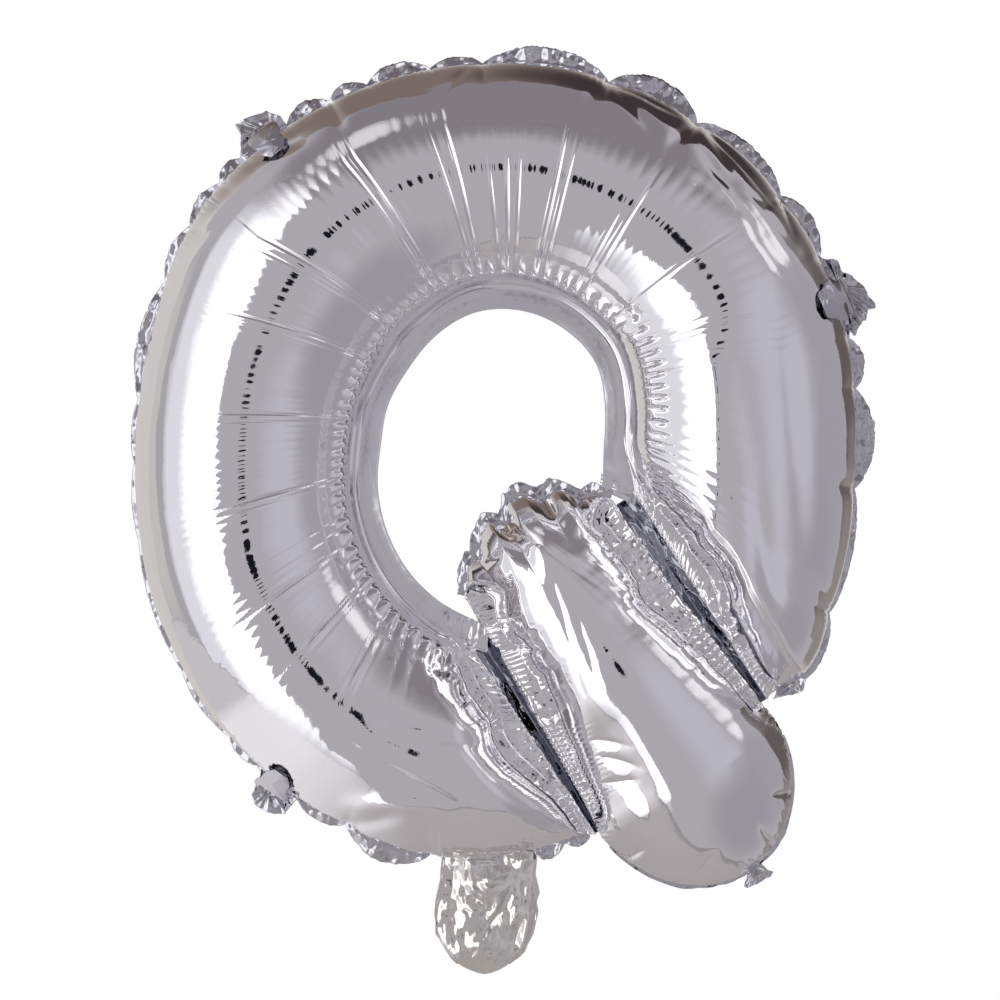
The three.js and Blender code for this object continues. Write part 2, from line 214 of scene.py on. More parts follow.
@dataclass(frozen=True)
class Hem:
    """Gathered hem of film beside a slit, lower and narrower where the taper grows to 1."""

    height: float
    width: float

    def wall(self, grain: Grain, place: Array, taper: Array) -> Array:
        """Width of the hem at places along the slit."""
        uneven = 1 + 0.26 * grain.along(place / 13) + 0.08 * grain.along(place / 4.1)
        return self.width * (1 - 0.72 * taper) * uneven

    def profile(self, grain: Grain, place: Array, taper: Array, distance: Array, wall: Array) -> Array:
        """Height of the hem: a steep face on the seam and a gentle one away from it.

        Args:
            grain: Chance values of the hem.
            place: Distance along the slit.
            taper: How far the hem has run out.
            distance: Distance from the seam.
            wall: Width of the hem there.

        Returns:
            Height in millimetres.
        """
        top = self.height * (1 - 0.5 * taper) * np.clip(0.8 + 0.6 * grain.along(place / 13 + 70), 0.2, 1.3)
        return top * closing(distance, 0.16 * wall) * (1 - 0.8 * np.clip(distance / wall, 0, 1.25))


@dataclass(frozen=True)
class Crease:
    """Fold pressed into a film along a line of the front view.

    Points are X and Z. A positive depth makes a valley and a negative one a ridge.
    """

    start: Spot
    end: Spot
    width: float
    depth: float
    sharp: bool = False

    def rise(self, x: Array, z: Array) -> Array:
        """Height that the fold adds at places of the front view.

        Args:
            x: X of each place.
            z: Z of each place.

        Returns:
            Height along the film's normal, in millimetres.
        """
        run = np.array(self.end) - np.array(self.start)
        length = float(np.hypot(*run))
        way = run / length
        gone = (x - self.start[0]) * way[0] + (z - self.start[1]) * way[1]
        aside = (z - self.start[1]) * way[0] - (x - self.start[0]) * way[1]
        profile = spike(aside, self.width) if self.sharp else hill(aside, self.width)
        taper = window(gone, -self.width, 0.25 * length, 0.6 * length, length + self.width)
        return -self.depth * profile * taper


@dataclass(frozen=True)
class LetterPlan:
    """Outline of the letter: the ring, the tail, and the slits between them.

    Hole, inner and outer are the radii of the hole, of the hole weld and of the rim weld, one at each
    step of angle. The tail and the slits are given along and across the tail.
    """

    first_angle: float = -60
    angle_step: float = 20
    hole: tuple[float, ...] = (58, 50, 44.5, 43, 46.2, 52, 54.9, 56.4, 56, 52.7, 49.5, 49.3, 49.5,
                               53.9, 59.9, 66.8, 73, 78, 82)
    inner: tuple[float, ...] = (67, 61.5, 56, 51.2, 54.5, 60.4, 63.3, 64.9, 64.3, 61, 57.9, 57.2,
                                57.9, 62, 68.3, 75.8, 83.5, 89, 93)
    outer: tuple[float, ...] = (168, 161.5, 152, 149, 153, 156.8, 158.7, 159.2, 159.5, 160, 158.8,
                                153.2, 151.6, 156.6, 163.3, 169.3, 174, 168, 165)
    tail_tilt: float = math.radians(-57.5)
    tail_along: tuple[float, ...] = (20, 55, 95, 120, 160, 220)
    tail_left: tuple[float, ...] = (-45.5, -46.6, -46.8, -47.6, -51.7, -51.7)
    tail_right: tuple[float, ...] = (26.5, 27.4, 28.2, 31.0, 35.0, 35.0)
    left_slit: tuple[Spot, Spot] = ((62, -54.6), (158, -52.8))
    right_slit: tuple[Spot, Spot] = ((47, 36.0), (149, 36.4))
    fullness: float = 0.465
    rim_plane: float = 0.25

    def radius(self, angle: Array, column: tuple[float, ...]) -> Array:
        """Distance from the middle of the hole, on a smooth curve through a column's values.

        Args:
            angle: Direction in degrees, 0 to the right and growing anticlockwise.
            column: One of the columns hole, inner and outer.

        Returns:
            Radius at each angle.
        """
        values = np.array(column)
        place = np.clip((angle - self.first_angle) / self.angle_step, 0, values.size - 1)
        low = np.minimum(np.floor(place).astype(int), values.size - 2)
        part = place - low
        first, second = values[low], values[low + 1]
        start = (second - values[np.maximum(low - 1, 0)]) / 2
        end = (values[np.minimum(low + 2, values.size - 1)] - first) / 2
        cubic = (2 * first - 2 * second + start + end) * part ** 3
        square = (-3 * first + 3 * second - 2 * start - end) * part ** 2
        return cubic + square + start * part + first

    def film_radius(self, angle: Array, span: Array) -> Array:
        """Radius at a share of the way from the hole weld to the rim weld."""
        return blend(self.radius(angle, self.inner), self.radius(angle, self.outer), span)

    def tail_point(self, along: Array, across: Array) -> tuple[Array, Array]:
        """X and Z of a place given along and across the tail."""
        turn, rise = math.cos(self.tail_tilt), math.sin(self.tail_tilt)
        return along * turn - across * rise, along * rise + across * turn

    def tail_coordinates(self, x: Array, z: Array) -> tuple[Array, Array]:
        """Places of the front view, given along and across the tail."""
        turn, rise = math.cos(self.tail_tilt), math.sin(self.tail_tilt)
        return x * turn + z * rise, z * turn - x * rise

    def tail_sides(self, along: Array) -> tuple[Array, Array]:
        """Places across the tail of its left and right welds."""
        left, right = (np.interp(along, self.tail_along, side) for side in (self.tail_left, self.tail_right))
        return left, right

    def slit_point(self, slit: tuple[Spot, Spot], share: Array) -> tuple[Array, Array]:
        """X and Z on the ring's end beside the tail, from the hole (0) to the rim (1)."""
        (low, low_aside), (high, high_aside) = slit
        return self.tail_point(blend(low, high, share), blend(low_aside, high_aside, share))


PLAN = LetterPlan()


def polar(angle: Array, radius: Array) -> tuple[Array, Array]:
    """X and Z at an angle in degrees and a distance from the middle of the hole."""
    turn = np.radians(angle)
    return radius * np.cos(turn), radius * np.sin(turn)


def ring_angle(x: Array, z: Array) -> Array:
    """Direction in degrees from the middle of the hole, from -60 to 300."""
    angle = np.degrees(np.arctan2(z, x)) % 360
    return np.where(angle > 300, angle - 360, angle)


def ring_crease(start: Spot, end: Spot, width: float, depth: float, sharp: bool = False) -> Crease:
    """Crease between two places of the ring.

    Args:
        start: Angle in degrees and share across, from the hole weld (0) to the rim weld (1).
        end: The other end, in the same way.
        width: Half width of the fold.
        depth: Depth of the valley; a ridge is negative.
        sharp: Whether the fold has a keen edge.

    Returns:
        The crease in the front view.
    """
    ends = []
    for angle, across in (start, end):
        x, z = polar(angle, PLAN.film_radius(np.array(angle), arc_share(across)))
        ends.append((float(x), float(z)))
    return Crease(*ends, width, depth, sharp)


def seen(column: float, row: float) -> Spot:
    """X and Z of a place on the drawing grid."""
    return (column - GRID_MIDDLE[0]) * GRID_STEP, (GRID_MIDDLE[1] - row) * GRID_STEP


def drawn(start: Spot, end: Spot, width: float, depth: float, sharp: bool = False) -> Crease:
    """Crease between two places of the drawing grid."""
    return Crease(seen(*start), seen(*end), width, depth, sharp)


# Rim of the ring: pinch angle, depth of the pinch, and height of the scallop that follows it
RIM_PINCHES = (
    (-38, 1.6, 3.0), (-27, 1.8, 2.5), (-7, 1.4, 7.0), (9, 1.2, 5.0), (17, 1.2, 2.0), (30.5, 1.3, 5.5),
    (41.6, 1.6, 5.0), (58.5, 2.2, 8.0), (73.3, 2.2, 7.5), (92.6, 1.4, 4.0), (100.5, 0.9, 6.0),
    (110.3, 0.8, 4.5), (116.4, 1.0, 5.5), (123.6, 0.6, 2.0), (131.8, 0.7, 5.0), (136.9, 0.6, 4.5),
    (144.8, 0.6, 4.0), (154, 0.5, 5.0), (172.7, 0.6, 2.5), (182.7, 0.3, 2.0), (194.9, 0.4, 2.0),
    (215.2, 0.4, 2.5), (227.2, 0.7, 3.0), (232.8, 0.6, 2.0), (240, 0.6, 4.0), (247.9, 2.2, 7.0),
    (260.3, 1.6, 3.0), (274.4, 1.2, 5.5), (279.3, 1.2, 3.5), (283, 0.8, 3.0),
)

# Long folds that cross the ring from its hole weld: angle at the weld, depth and reach
RING_FOLDS = (
    (36.3, 0.9, 0.62), (49.3, 0.9, 0.66), (61.8, 1.0, 0.68), (64.0, 0.6, 0.52), (75.6, 0.8, 0.66),
    (77.8, 0.9, 0.72), (85.0, 0.7, 0.64), (87.4, 0.8, 0.62), (90.0, 0.6, 0.66), (95.0, 1.0, 0.72),
    (97.4, 0.6, 0.70), (109.6, 1.1, 0.74), (111.5, 0.7, 0.74), (129.3, 1.1, 0.74), (131.5, 0.5, 0.70),
    (144.8, 0.9, 0.72), (146.6, 0.5, 0.62), (169.3, 0.8, 0.70), (171.4, 0.5, 0.66), (191.0, 0.9, 0.74),
    (192.8, 0.5, 0.70), (205.0, 0.35, 0.52), (208.4, 0.35, 0.56), (213.3, 1.0, 0.72), (224.8, 1.0, 0.66),
    (226.6, 0.6, 0.62), (235.2, 1.0, 0.62), (237.4, 0.5, 0.56),
)

# Lean of the pleats: angle at the weld and how far a pleat has turned by the crest
PLEAT_LEAN = (
    (-40, -14), (0, -14), (36, -9), (49, -6), (62, -2), (75, 0), (87, 1), (95, 4.5), (110, 6.5), (129, 8.7),
    (145, 8.5), (169, 4.4), (191, 2.2), (213, 1.2), (225, 1.4), (236, 3), (262, 6),
)

# Creases of the front film, each with its two ends, half width, depth, and True where its edge is keen
FRONT_RING_CREASES = tuple(drawn(*crease) for crease in (
    ((434, 820), (434, 842), 0.9, -0.8, True), ((442, 824), (443, 852), 1.0, -1.0, True),
    ((453, 828), (452, 852), 0.9, -0.9, True), ((486, 844), (489, 862), 0.8, -0.5, True),
    ((520, 836), (532, 860), 1.1, 0.9, True), ((560, 838), (510, 836), 1.4, 0.5, True),
    ((746, 480), (774, 650), 4.0, 0.8), ((780, 320), (808, 600), 4.6, 0.9),
    ((345, 798), (446, 796), 3.2, -1.9), ((372, 762), (478, 812), 5.4, 1.0),
    ((392, 716), (500, 800), 7.0, 0.5), ((692, 150), (772, 252), 2.4, 1.1),
    ((684, 184), (744, 226), 1.8, 0.9, True), ((744, 226), (800, 300), 3.0, 0.8),
)) + tuple(ring_crease(*crease) for crease in (
    ((58.4, 0.97), (60.5, 0.68), 3.6, 1.2), ((57.5, 0.93), (45.0, 0.74), 3.0, 0.9),
    ((57.0, 0.92), (38.0, 0.84), 2.2, 1.7, True), ((73.0, 0.93), (60.0, 0.86), 2.2, 1.3, True),
    ((41.6, 0.95), (33.0, 0.80), 2.4, 1.3, True), ((73.3, 0.95), (61.0, 0.69), 3.0, 0.8),
    ((73.3, 0.95), (77.0, 0.68), 3.2, 0.7), ((41.0, 0.80), (55.0, 0.71), 1.6, 0.5),
    ((94.0, 0.93), (101.5, 0.70), 1.4, 0.4, True), ((116.5, 0.95), (117.0, 0.72), 3.4, 0.9),
    ((110.5, 0.90), (97.0, 0.74), 4.0, 0.4), ((133.0, 0.92), (121.0, 0.76), 3.0, 0.7),
    ((150.0, 0.86), (120.0, 0.80), 3.0, 0.4), ((247.9, 0.97), (255.0, 0.72), 3.0, 1.6),
    ((238.0, 0.61), (266.0, 0.66), 2.4, 0.7), ((244.0, 0.50), (268.0, 0.46), 3.4, 0.8),
    ((252.0, 0.27), (266.0, 0.22), 1.8, 0.7), ((255.0, 0.80), (280.0, 0.78), 6.0, 1.2),
    ((-30.0, 0.66), (26.0, 0.50), 5.0, 0.5), ((-34.0, 0.80), (-24.0, 0.56), 4.0, 0.9),
    ((-30.0, 0.52), (4.0, 0.40), 5.0, 0.6), ((29.0, 0.81), (46.0, 0.77), 2.4, 0.4),
    ((-8.0, 0.95), (-2.0, 0.74), 3.0, 0.5), ((-27.0, 0.95), (-20.0, 0.76), 3.0, 0.6),
))

FRONT_TAIL_CREASES = tuple(drawn(*crease) for crease in (
    ((498, 526), (540, 544), 1.8, 2.2, True), ((545, 500), (553, 516), 2.0, 1.4),
    ((581, 494), (588, 526), 2.2, 1.6, True), ((466, 589), (504, 592), 1.8, 2.0, True),
    ((474, 625), (512, 625), 1.8, 2.0, True), ((484, 652), (546, 646), 2.0, 1.8, True),
    ((484, 563), (500, 556), 1.6, 1.0), ((540, 545), (606, 592), 1.4, 0.45, True),
    ((545, 560), (590, 700), 1.2, 0.22), ((556, 560), (606, 700), 1.4, 0.2),
    ((636, 559), (676, 632), 1.8, 0.9, True), ((676, 632), (700, 652), 1.6, 0.6, True),
    ((554, 706), (672, 630), 30.0, -3.0), ((592, 706), (664, 838), 8.0, 2.4),
    ((716, 660), (760, 800), 4.0, -0.25), ((798, 792), (770, 792), 1.8, 1.8, True),
    ((780, 854), (756, 820), 2.0, 2.0, True), ((694, 878), (714, 846), 2.0, 2.0, True),
    ((614, 870), (646, 842), 2.0, 2.0, True), ((596, 752), (640, 764), 1.8, 1.0, True),
    ((590, 735), (630, 742), 1.6, 0.8, True), ((600, 780), (634, 776), 1.8, 1.0, True),
))

NECK_CREASES = tuple(drawn(*crease) for crease in (
    ((470, 862), (520, 867), 0.7, 0.7, True), ((470, 880), (518, 884), 0.7, 0.6, True),
    ((463, 856), (466, 886), 0.9, -1.2, True), ((470, 858), (471, 885), 0.8, -1.0, True),
    ((485, 864), (490, 884), 0.9, -0.9, True), ((468, 884), (490, 902), 1.5, -1.5),
    ((488, 901), (489, 921), 1.2, -1.2), ((482, 883), (498, 893), 1.5, -1.4),
    ((499, 890), (499, 904), 1.5, -1.4), ((499, 902), (489, 921), 1.3, -1.2),
    ((512, 884), (503, 903), 0.8, 0.9, True), ((503, 903), (478, 945), 0.8, 0.9, True),
    ((478, 945), (465, 966), 0.8, 0.8, True), ((452, 905), (488, 918), 0.9, 0.7, True),
    ((440, 912), (456, 916), 0.7, 0.5, True), ((438, 926), (452, 926), 0.7, 0.5, True),
    ((531, 876), (530, 911), 1.5, -1.6), ((530, 911), (520, 955), 1.5, -1.5),
    ((524, 880), (523, 915), 0.9, 0.9, True), ((523, 915), (512, 952), 0.9, 0.9, True),
    ((516, 912), (510, 934), 1.1, -0.9), ((500, 915), (507, 928), 0.8, -0.8, True),
    ((461, 940), (457, 966), 1.8, -1.0),
))


class Value:
    """Number that a shader node gives, which Python operators turn into Math nodes."""

    def __init__(self, bench: "Bench", socket: bpy.types.NodeSocket) -> None:
        """Wraps one output socket."""
        self.bench = bench
        self.socket = socket

    def _with(self, operation: str, first: "Value | float", second: "Value | float" = 0.0) -> "Value":
        """Math node on two numbers."""
        return self.bench.value("ShaderNodeMath", 0, {"operation": operation}, {0: first, 1: second})

    def __add__(self, other: "Value | float") -> "Value":
        """Sum."""
        return self._with("ADD", self, other)

    def __sub__(self, other: "Value | float") -> "Value":
        """Difference."""
        return self._with("SUBTRACT", self, other)

    def __rsub__(self, other: "Value | float") -> "Value":
        """Difference from a number."""
        return self._with("SUBTRACT", other, self)

    def __mul__(self, other: "Value | float") -> "Value":
        """Product."""
        return self._with("MULTIPLY", self, other)

    def __truediv__(self, other: "Value | float") -> "Value":
        """Quotient."""
        return self._with("DIVIDE", self, other)

    def __rtruediv__(self, other: "Value | float") -> "Value":
        """Quotient of a number."""
        return self._with("DIVIDE", other, self)

    def __abs__(self) -> "Value":
        """Size without its sign."""
        return self._with("ABSOLUTE", self)

    __radd__ = __add__
    __rmul__ = __mul__

    def above(self, other: "Value | float") -> "Value":
        """1 where this is greater."""
        return self._with("GREATER_THAN", self, other)

    def largest(self, other: "Value | float") -> "Value":
        """The greater of two."""
        return self._with("MAXIMUM", self, other)

    def ramp(self, low: float, high: float) -> "Value":
        """Smooth ramp from 0 at low to 1 at high."""
        sockets = {"Value": self, "From Min": low, "From Max": high, "To Min": 0.0, "To Max": 1.0}
        return self.bench.value("ShaderNodeMapRange", "Result", {"interpolation_type": "SMOOTHSTEP"}, sockets)


def linear(tone: str, scale: float = 1.0) -> Colour:
    """Works out a colour as linear light.

    Args:
        tone: Six hexadecimal digits.
        scale: Number that the light is multiplied by.

    Returns:
        Red, green and blue, and an alpha of 1.
    """
    parts = [int(tone[place:place + 2], 16) / 255 for place in (0, 2, 4)]
    light = [part / 12.92 if part <= 0.04045 else ((part + 0.055) / 1.055) ** 2.4 for part in parts]
    return light[0] * scale, light[1] * scale, light[2] * scale, 1.0


class Bench:
    """Node tree of a material or of the world."""

    def __init__(self, owner: bpy.types.Material | bpy.types.World) -> None:
        """Gives the owner an empty tree.

        Args:
            owner: Material or world that the nodes are for.
        """
        owner.use_nodes = True
        self.tree = owner.node_tree
        self.tree.nodes.clear()

    def node(self, kind: str, settings: dict[str, object] | None = None,
             sockets: dict[str | int, object] | None = None) -> bpy.types.Node:
        """Adds one node.

        Args:
            kind: Type of the node.
            settings: Its properties.
            sockets: Values, colours or links of its inputs.

        Returns:
            The new node.
        """
        node = self.tree.nodes.new(kind)
        for name, setting in (settings or {}).items():
            setattr(node, name, setting)
        for name, given in (sockets or {}).items():
            source = given.socket if isinstance(given, Value) else given
            if isinstance(source, bpy.types.NodeSocket):
                self.tree.links.new(source, node.inputs[name])
            else:
                node.inputs[name].default_value = source
        return node

    def value(self, kind: str, output: str | int, settings: dict[str, object] | None = None,
              sockets: dict[str | int, object] | None = None) -> Value:
        """Adds a node and gives one of its outputs as a value."""
        return Value(self, self.node(kind, settings, sockets).outputs[output])

    def noise(self, place: bpy.types.NodeSocket, scale: float, detail: float, roughness: float) -> Value:
        """Adds a noise over the places."""
        sockets = {"Vector": place, "Scale": scale, "Detail": detail, "Roughness": roughness}
        return self.value("ShaderNodeTexNoise", "Fac", None, sockets)

    def mix(self, under: bpy.types.NodeSocket | Colour, over: bpy.types.NodeSocket | Colour,
            mask: Value) -> bpy.types.NodeSocket:
        """Paints one colour over another, where the mask is 1."""
        return self.node("ShaderNodeMix", {"data_type": "RGBA"}, {0: mask, 6: under, 7: over}).outputs[2]


@dataclass(frozen=True)
class FilmFinish:
    """Metallised film, a little uneven in its shine, with a relief too fine for its mesh.

    Noise is the scale, detail and roughness of the relief's noise, and the relief is in metres.
    """

    name: str
    tone: str
    roughness: float
    unevenness: float
    noise: Triple
    relief: float

    def material(self) -> bpy.types.Material:
        """Gives the material, made once.

        Returns:
            The material of this finish.
        """
        if self.name in bpy.data.materials:
            return bpy.data.materials[self.name]
        material = bpy.data.materials.new(self.name)
        bench = Bench(material)
        place = bench.node("ShaderNodeTexCoord").outputs["Object"]
        fine = bench.noise(place, *self.noise)
        bump = bench.node("ShaderNodeBump", None, {"Strength": 1.0, "Distance": self.relief, "Height": fine})
        shader = bench.node("ShaderNodeBsdfPrincipled", None, {
            "Base Color": linear(self.tone), "Metallic": 1.0,
            "Roughness": self.dullness(bench, place, fine), "Normal": bump.outputs[0],
        })
        surface = self.surface(bench, shader.outputs[0], fine)
        bench.node("ShaderNodeOutputMaterial", None, {"Surface": surface})
        return material

    def dullness(self, bench: Bench, place: bpy.types.NodeSocket, fine: Value) -> Value:
        """Roughness over the film."""
        return fine * self.unevenness + self.roughness

    def surface(self, bench: Bench, film: bpy.types.NodeSocket, fine: Value) -> bpy.types.NodeSocket:
        """Shader of the whole surface, which is all film."""
        return film


@dataclass(frozen=True)
class TautFinish(FilmFinish):
    """Mirror-bright film held tight by air, dulled in wide faint clouds."""

    def dullness(self, bench: Bench, place: bpy.types.NodeSocket, fine: Value) -> Value:
        """Roughness over the film."""
        return bench.noise(place, 45.0, 4.0, 0.6).ramp(0.35, 0.8) * self.unevenness + self.roughness


@dataclass(frozen=True)
class ThinFinish(FilmFinish):
    """Thin silvery film that is partly see-through."""

    clear: float

    def surface(self, bench: Bench, film: bpy.types.NodeSocket, fine: Value) -> bpy.types.NodeSocket:
        """Lets some light through the surface.

        Args:
            bench: Node tree of the material.
            film: Shader of the film.
            fine: Fine noise of the film.

        Returns:
            Shader of the whole surface.
        """
        through = bench.node("ShaderNodeBsdfTransparent").outputs[0]
        sockets = {0: fine.ramp(0.3, 0.8) * 0.08 + self.clear, 1: film, 2: through}
        return bench.node("ShaderNodeMixShader", None, sockets).outputs[0]


MIRROR_FILM = TautFinish("mirror_film", "F6F5F7", 0.035, 0.05, (260.0, 3.0, 0.55), 0.00004)
# Darker, bluer film of the slit webs: painted shade of their recess between the ring and the tail
SHADED_WEB_FILM = replace(MIRROR_FILM, name="shaded_web_film", tone="A3A5B1")
WELDED_FILM = FilmFinish("welded_film", "CFCED4", 0.04, 0.08, (330.0, 2.0, 0.45), 0.00005)
SEALED_FILM = FilmFinish("sealed_film", "EDECF0", 0.10, 0.15, (900.0, 3.0, 0.6), 0.00002)
NECK_FILM = ThinFinish("crinkled_neck_film", "F1EEE9", 0.05, 0.08, (160.0, 3.0, 0.5), 0.00004, 0.10)
SLEEVE_FILM = replace(NECK_FILM, name="clear_film", tone="E9E8EA", roughness=0.12, clear=0.7)


@dataclass
class Piece:
    """Piece of film that the scene shows in place of a solid.

    Points are its places in millimetres, columns by rows by X, Y and Z. Side is the way that its
    outside looks. It has a thickness where both of its faces show.
    """

    name: str
    node: str
    slot: str
    points: Array
    finish: FilmFinish
    thickness: float = 0.0
    side: Side = Side.FRONT

    def build(self) -> bpy.types.Object:
        """Makes the piece: a grid whose corners are moved onto the computed places.

        Returns:
            The new object, riding on the balloon.
        """
        columns, rows = self.points.shape[0] - 1, self.points.shape[1] - 1
        work = bmesh.new()
        work.loops.layers.uv.new("film")
        bmesh.ops.create_grid(work, x_segments=columns, y_segments=rows, size=0.5, calc_uvs=True)
        mesh = bpy.data.meshes.new(self.name)
        work.to_mesh(mesh)
        work.free()
        flat = np.zeros(len(mesh.vertices) * 3, dtype=np.float32)
        mesh.vertices.foreach_get("co", flat)
        flat = flat.reshape(-1, 3)
        column = np.rint((flat[:, 0] + 0.5) * columns).astype(int)
        row = np.rint((flat[:, 1] + 0.5) * rows).astype(int)
        mesh.vertices.foreach_set("co", (self.points[column, row] * MM).astype(np.float32).ravel())
        mesh.update()
        if sum(face.normal.y * face.area for face in mesh.polygons) * self.side.value < 0:
            mesh.flip_normals()
        mesh.shade_smooth()
        mesh.materials.append(self.finish.material())
        piece = bpy.data.objects.new(self.name, mesh)
        bpy.context.scene.collection.objects.link(piece)
        if self.thickness:
            wall = piece.modifiers.new("film", "SOLIDIFY")
            wall.thickness = self.thickness * MM
            wall.offset = 0
        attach(piece, ROOT_BODY)
        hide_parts(self.node)
        return piece


def raised(points: Array, side: Side, height: Array) -> Array:
    """Moves the places of a film out of the balloon along the film's normal.

    Args:
        points: Smooth places of the film.
        side: Half of the balloon that the film belongs to.
        height: Distance to move each place, in millimetres.

    Returns:
        The new places.
    """
    smallest = 1e-9
    normal = np.cross(np.gradient(points, axis=0), np.gradient(points, axis=1))
    normal = normal / np.maximum(np.linalg.norm(normal, axis=2, keepdims=True), smallest)
    facing = np.sign(np.sum(normal[..., 1]) or 1) * side.value
    return points + normal * facing * height[..., None]


def ring_pinch(angle: Array, radius: Array) -> Array:
    """Inward pull of the rim at its pinches.

    Args:
        angle: Direction of each place in degrees.
        radius: Its distance from the middle of the hole.

    Returns:
        Height along the film's normal, which is negative.
    """
    pull = np.zeros_like(angle)
    for pinch, depth, _ in RIM_PINCHES:
        arc = (angle - pinch) * np.radians(radius)
        pull -= depth * (0.65 * spike(arc, 2.6) + 0.5 * hill(arc, 11))
    return pull


@dataclass
class RingGrid:
    """Smooth shape of the ring before its wrinkles.

    Across runs from 0 at the hole weld to 1 at the rim weld. Start is the angle at which the pleat
    through each place leaves the hole weld. Runs are the distances from the ring's right and left ends.
    """

    points: Array
    across: Array
    start: Array
    runs: tuple[Array, Array]

    def __post_init__(self) -> None:
        """Works out where each place is in the front view."""
        self.x, self.z = self.points[..., 0], self.points[..., 2]
        self.angle, self.radius = ring_angle(self.x, self.z), np.hypot(self.x, self.z)


@dataclass
class RingSkin:
    """Film of the letter's ring on one side, pleated round the hole and pinched at the rim.

    First and last are shares of the ring's length. The pleats of the weld and the crest are given in
    degrees, and those of the slits in millimetres. Right of the change angle the weld's pleats are
    finer.
    """

    side: Side
    columns: int
    rows: int
    seed: int
    first: float
    last: float
    creases: tuple[Crease, ...]
    fine_columns: int = 12000
    fine_rows: int = 4000
    end_crowding: float = 1.6
    closing_reach: float = 32
    slit_pull: float = 14
    weld_pleat: float = 3.9
    right_weld_pleat: float = 3.6
    change_angle: float = 47
    crest_pleat: float = 1.88
    bead: float = 2.3
    zigzag: float = 0.6
    slit_pleat: float = 2.7
    fillet: float = 4.0
    fillet_run: float = 3.0
    shelf: float = 2.5
    hem: Hem = Hem(3.4, 8.5)

    def shares(self) -> Array:
        """Places of the columns.

        Returns:
            Shares of the ring's length, close together at a pinched end and along the folds.
        """
        place = np.linspace(0, 1, self.columns + 1)
        if self.first == 0:
            return self.last * place ** self.end_crowding
        if self.last == 1:
            return 1 - (1 - self.first) * (1 - place) ** self.end_crowding
        fine = np.linspace(self.first, self.last, self.fine_columns)
        middles = [PLAN.slit_point(slit, 0.5) for slit in (PLAN.right_slit, PLAN.left_slit)]
        angle = blend(*[float(ring_angle(x, z)) for x, z in middles], fine)
        crowd = 1 + sum(1.9 * hill(angle - fold, 0.9) for fold, _, _ in RING_FOLDS)
        return crowded(fine, crowd, self.columns)

    def rows_across(self) -> Array:
        """Places of the rows.

        Returns:
            Shares across the film, close together at the bead and at the crest's near end, or in even
            steps of width on the short end pieces.
        """
        if self.first == 0 or self.last == 1:
            return np.arccos(1 - 2 * np.linspace(0, 1, self.rows + 1)) / math.pi
        fine = np.linspace(0, 1, self.fine_rows)
        crowd = 1 + 1.3 * hill(fine - 0.425, 0.03) + 2.8 * hill(fine - 0.178, 0.03)
        return crowded(fine, crowd, self.rows)

    def gathered(self, run: Array, along: Array, span: Array) -> tuple[Array, Array]:
        """Rise of the film from a gathered end.

        Args:
            run: Distance from the end.
            along: Distance along the end.
            span: Share of the way from the hole weld to the rim weld.

        Returns:
            The share of its full height, and the height of the hem along the end.
        """
        grain = Grain(self.seed + 20)
        taper = smooth_step(0.38, 0.92, span)
        wall = self.hem.wall(grain, along, taper)
        rise = closing(np.maximum(run - wall, 0), self.closing_reach - self.hem.width)
        return rise * smooth_step(-1, 5, run - wall), self.hem.profile(grain, along, taper, run, wall)

    def base(self) -> RingGrid:
        """Inflates the ring, its columns leaning as its pleats do.

        Returns:
            Its smooth shape.
        """
        share, across = np.meshgrid(self.shares(), self.rows_across(), indexing="ij")
        span, belly = arc_share(across), np.sin(math.pi * across)
        slits = PLAN.right_slit, PLAN.left_slit
        right, left = (PLAN.slit_point(slit, span) for slit in slits)
        start, end = ring_angle(*right), ring_angle(*left)
        plain = blend(start, end, share)
        lean = np.interp(plain, *np.array(PLEAT_LEAN).T) * window(share, 0.01, 0.11, 0.89, 0.99)
        angle = plain + lean * np.clip((across - 0.05) / 0.5, 0, 1.15)
        radius = PLAN.film_radius(angle, span)
        x, z = polar(angle, radius)
        length = np.radians(end - start) * radius
        runs = share * length, (1 - share) * length
        for target, bound, run in ((right, start, runs[0]), (left, end, runs[1])):
            edge = polar(bound, PLAN.film_radius(bound, span))
            pull = hill(run, self.slit_pull)
            x = x + (target[0] - edge[0]) * pull
            z = z + (target[1] - edge[1]) * pull
        width = PLAN.radius(angle, PLAN.outer) - PLAN.radius(angle, PLAN.inner)
        gap = width * span
        lifted = np.clip((gap - self.fillet_run) / (width - self.fillet_run), 0, 1)
        arch = 2 * np.sqrt(lifted * (1 - lifted))
        bend = self.fillet - np.sqrt(self.fillet ** 2 - np.minimum(gap, 0.85 * self.fillet) ** 2)
        bend = bend * smooth_step(12, 0, gap - self.fillet_run)
        bend = bend + self.shelf * window(gap, 1.5, 4.2, 4.2, 13.5)
        right_along, left_along = (span * (slit[1][0] - slit[0][0]) for slit in slits)
        right_rise, right_hem = self.gathered(runs[0], right_along, span)
        left_rise, left_hem = self.gathered(runs[1], OTHER_DRAWS + left_along, span)
        y = right_rise * left_rise * (PLAN.rim_plane * belly + PLAN.fullness * width * arch + bend)
        y = self.side.value * (y + (right_hem + left_hem) * belly ** 0.5)
        return RingGrid(np.stack([x, y, z], axis=2), across, plain, runs)

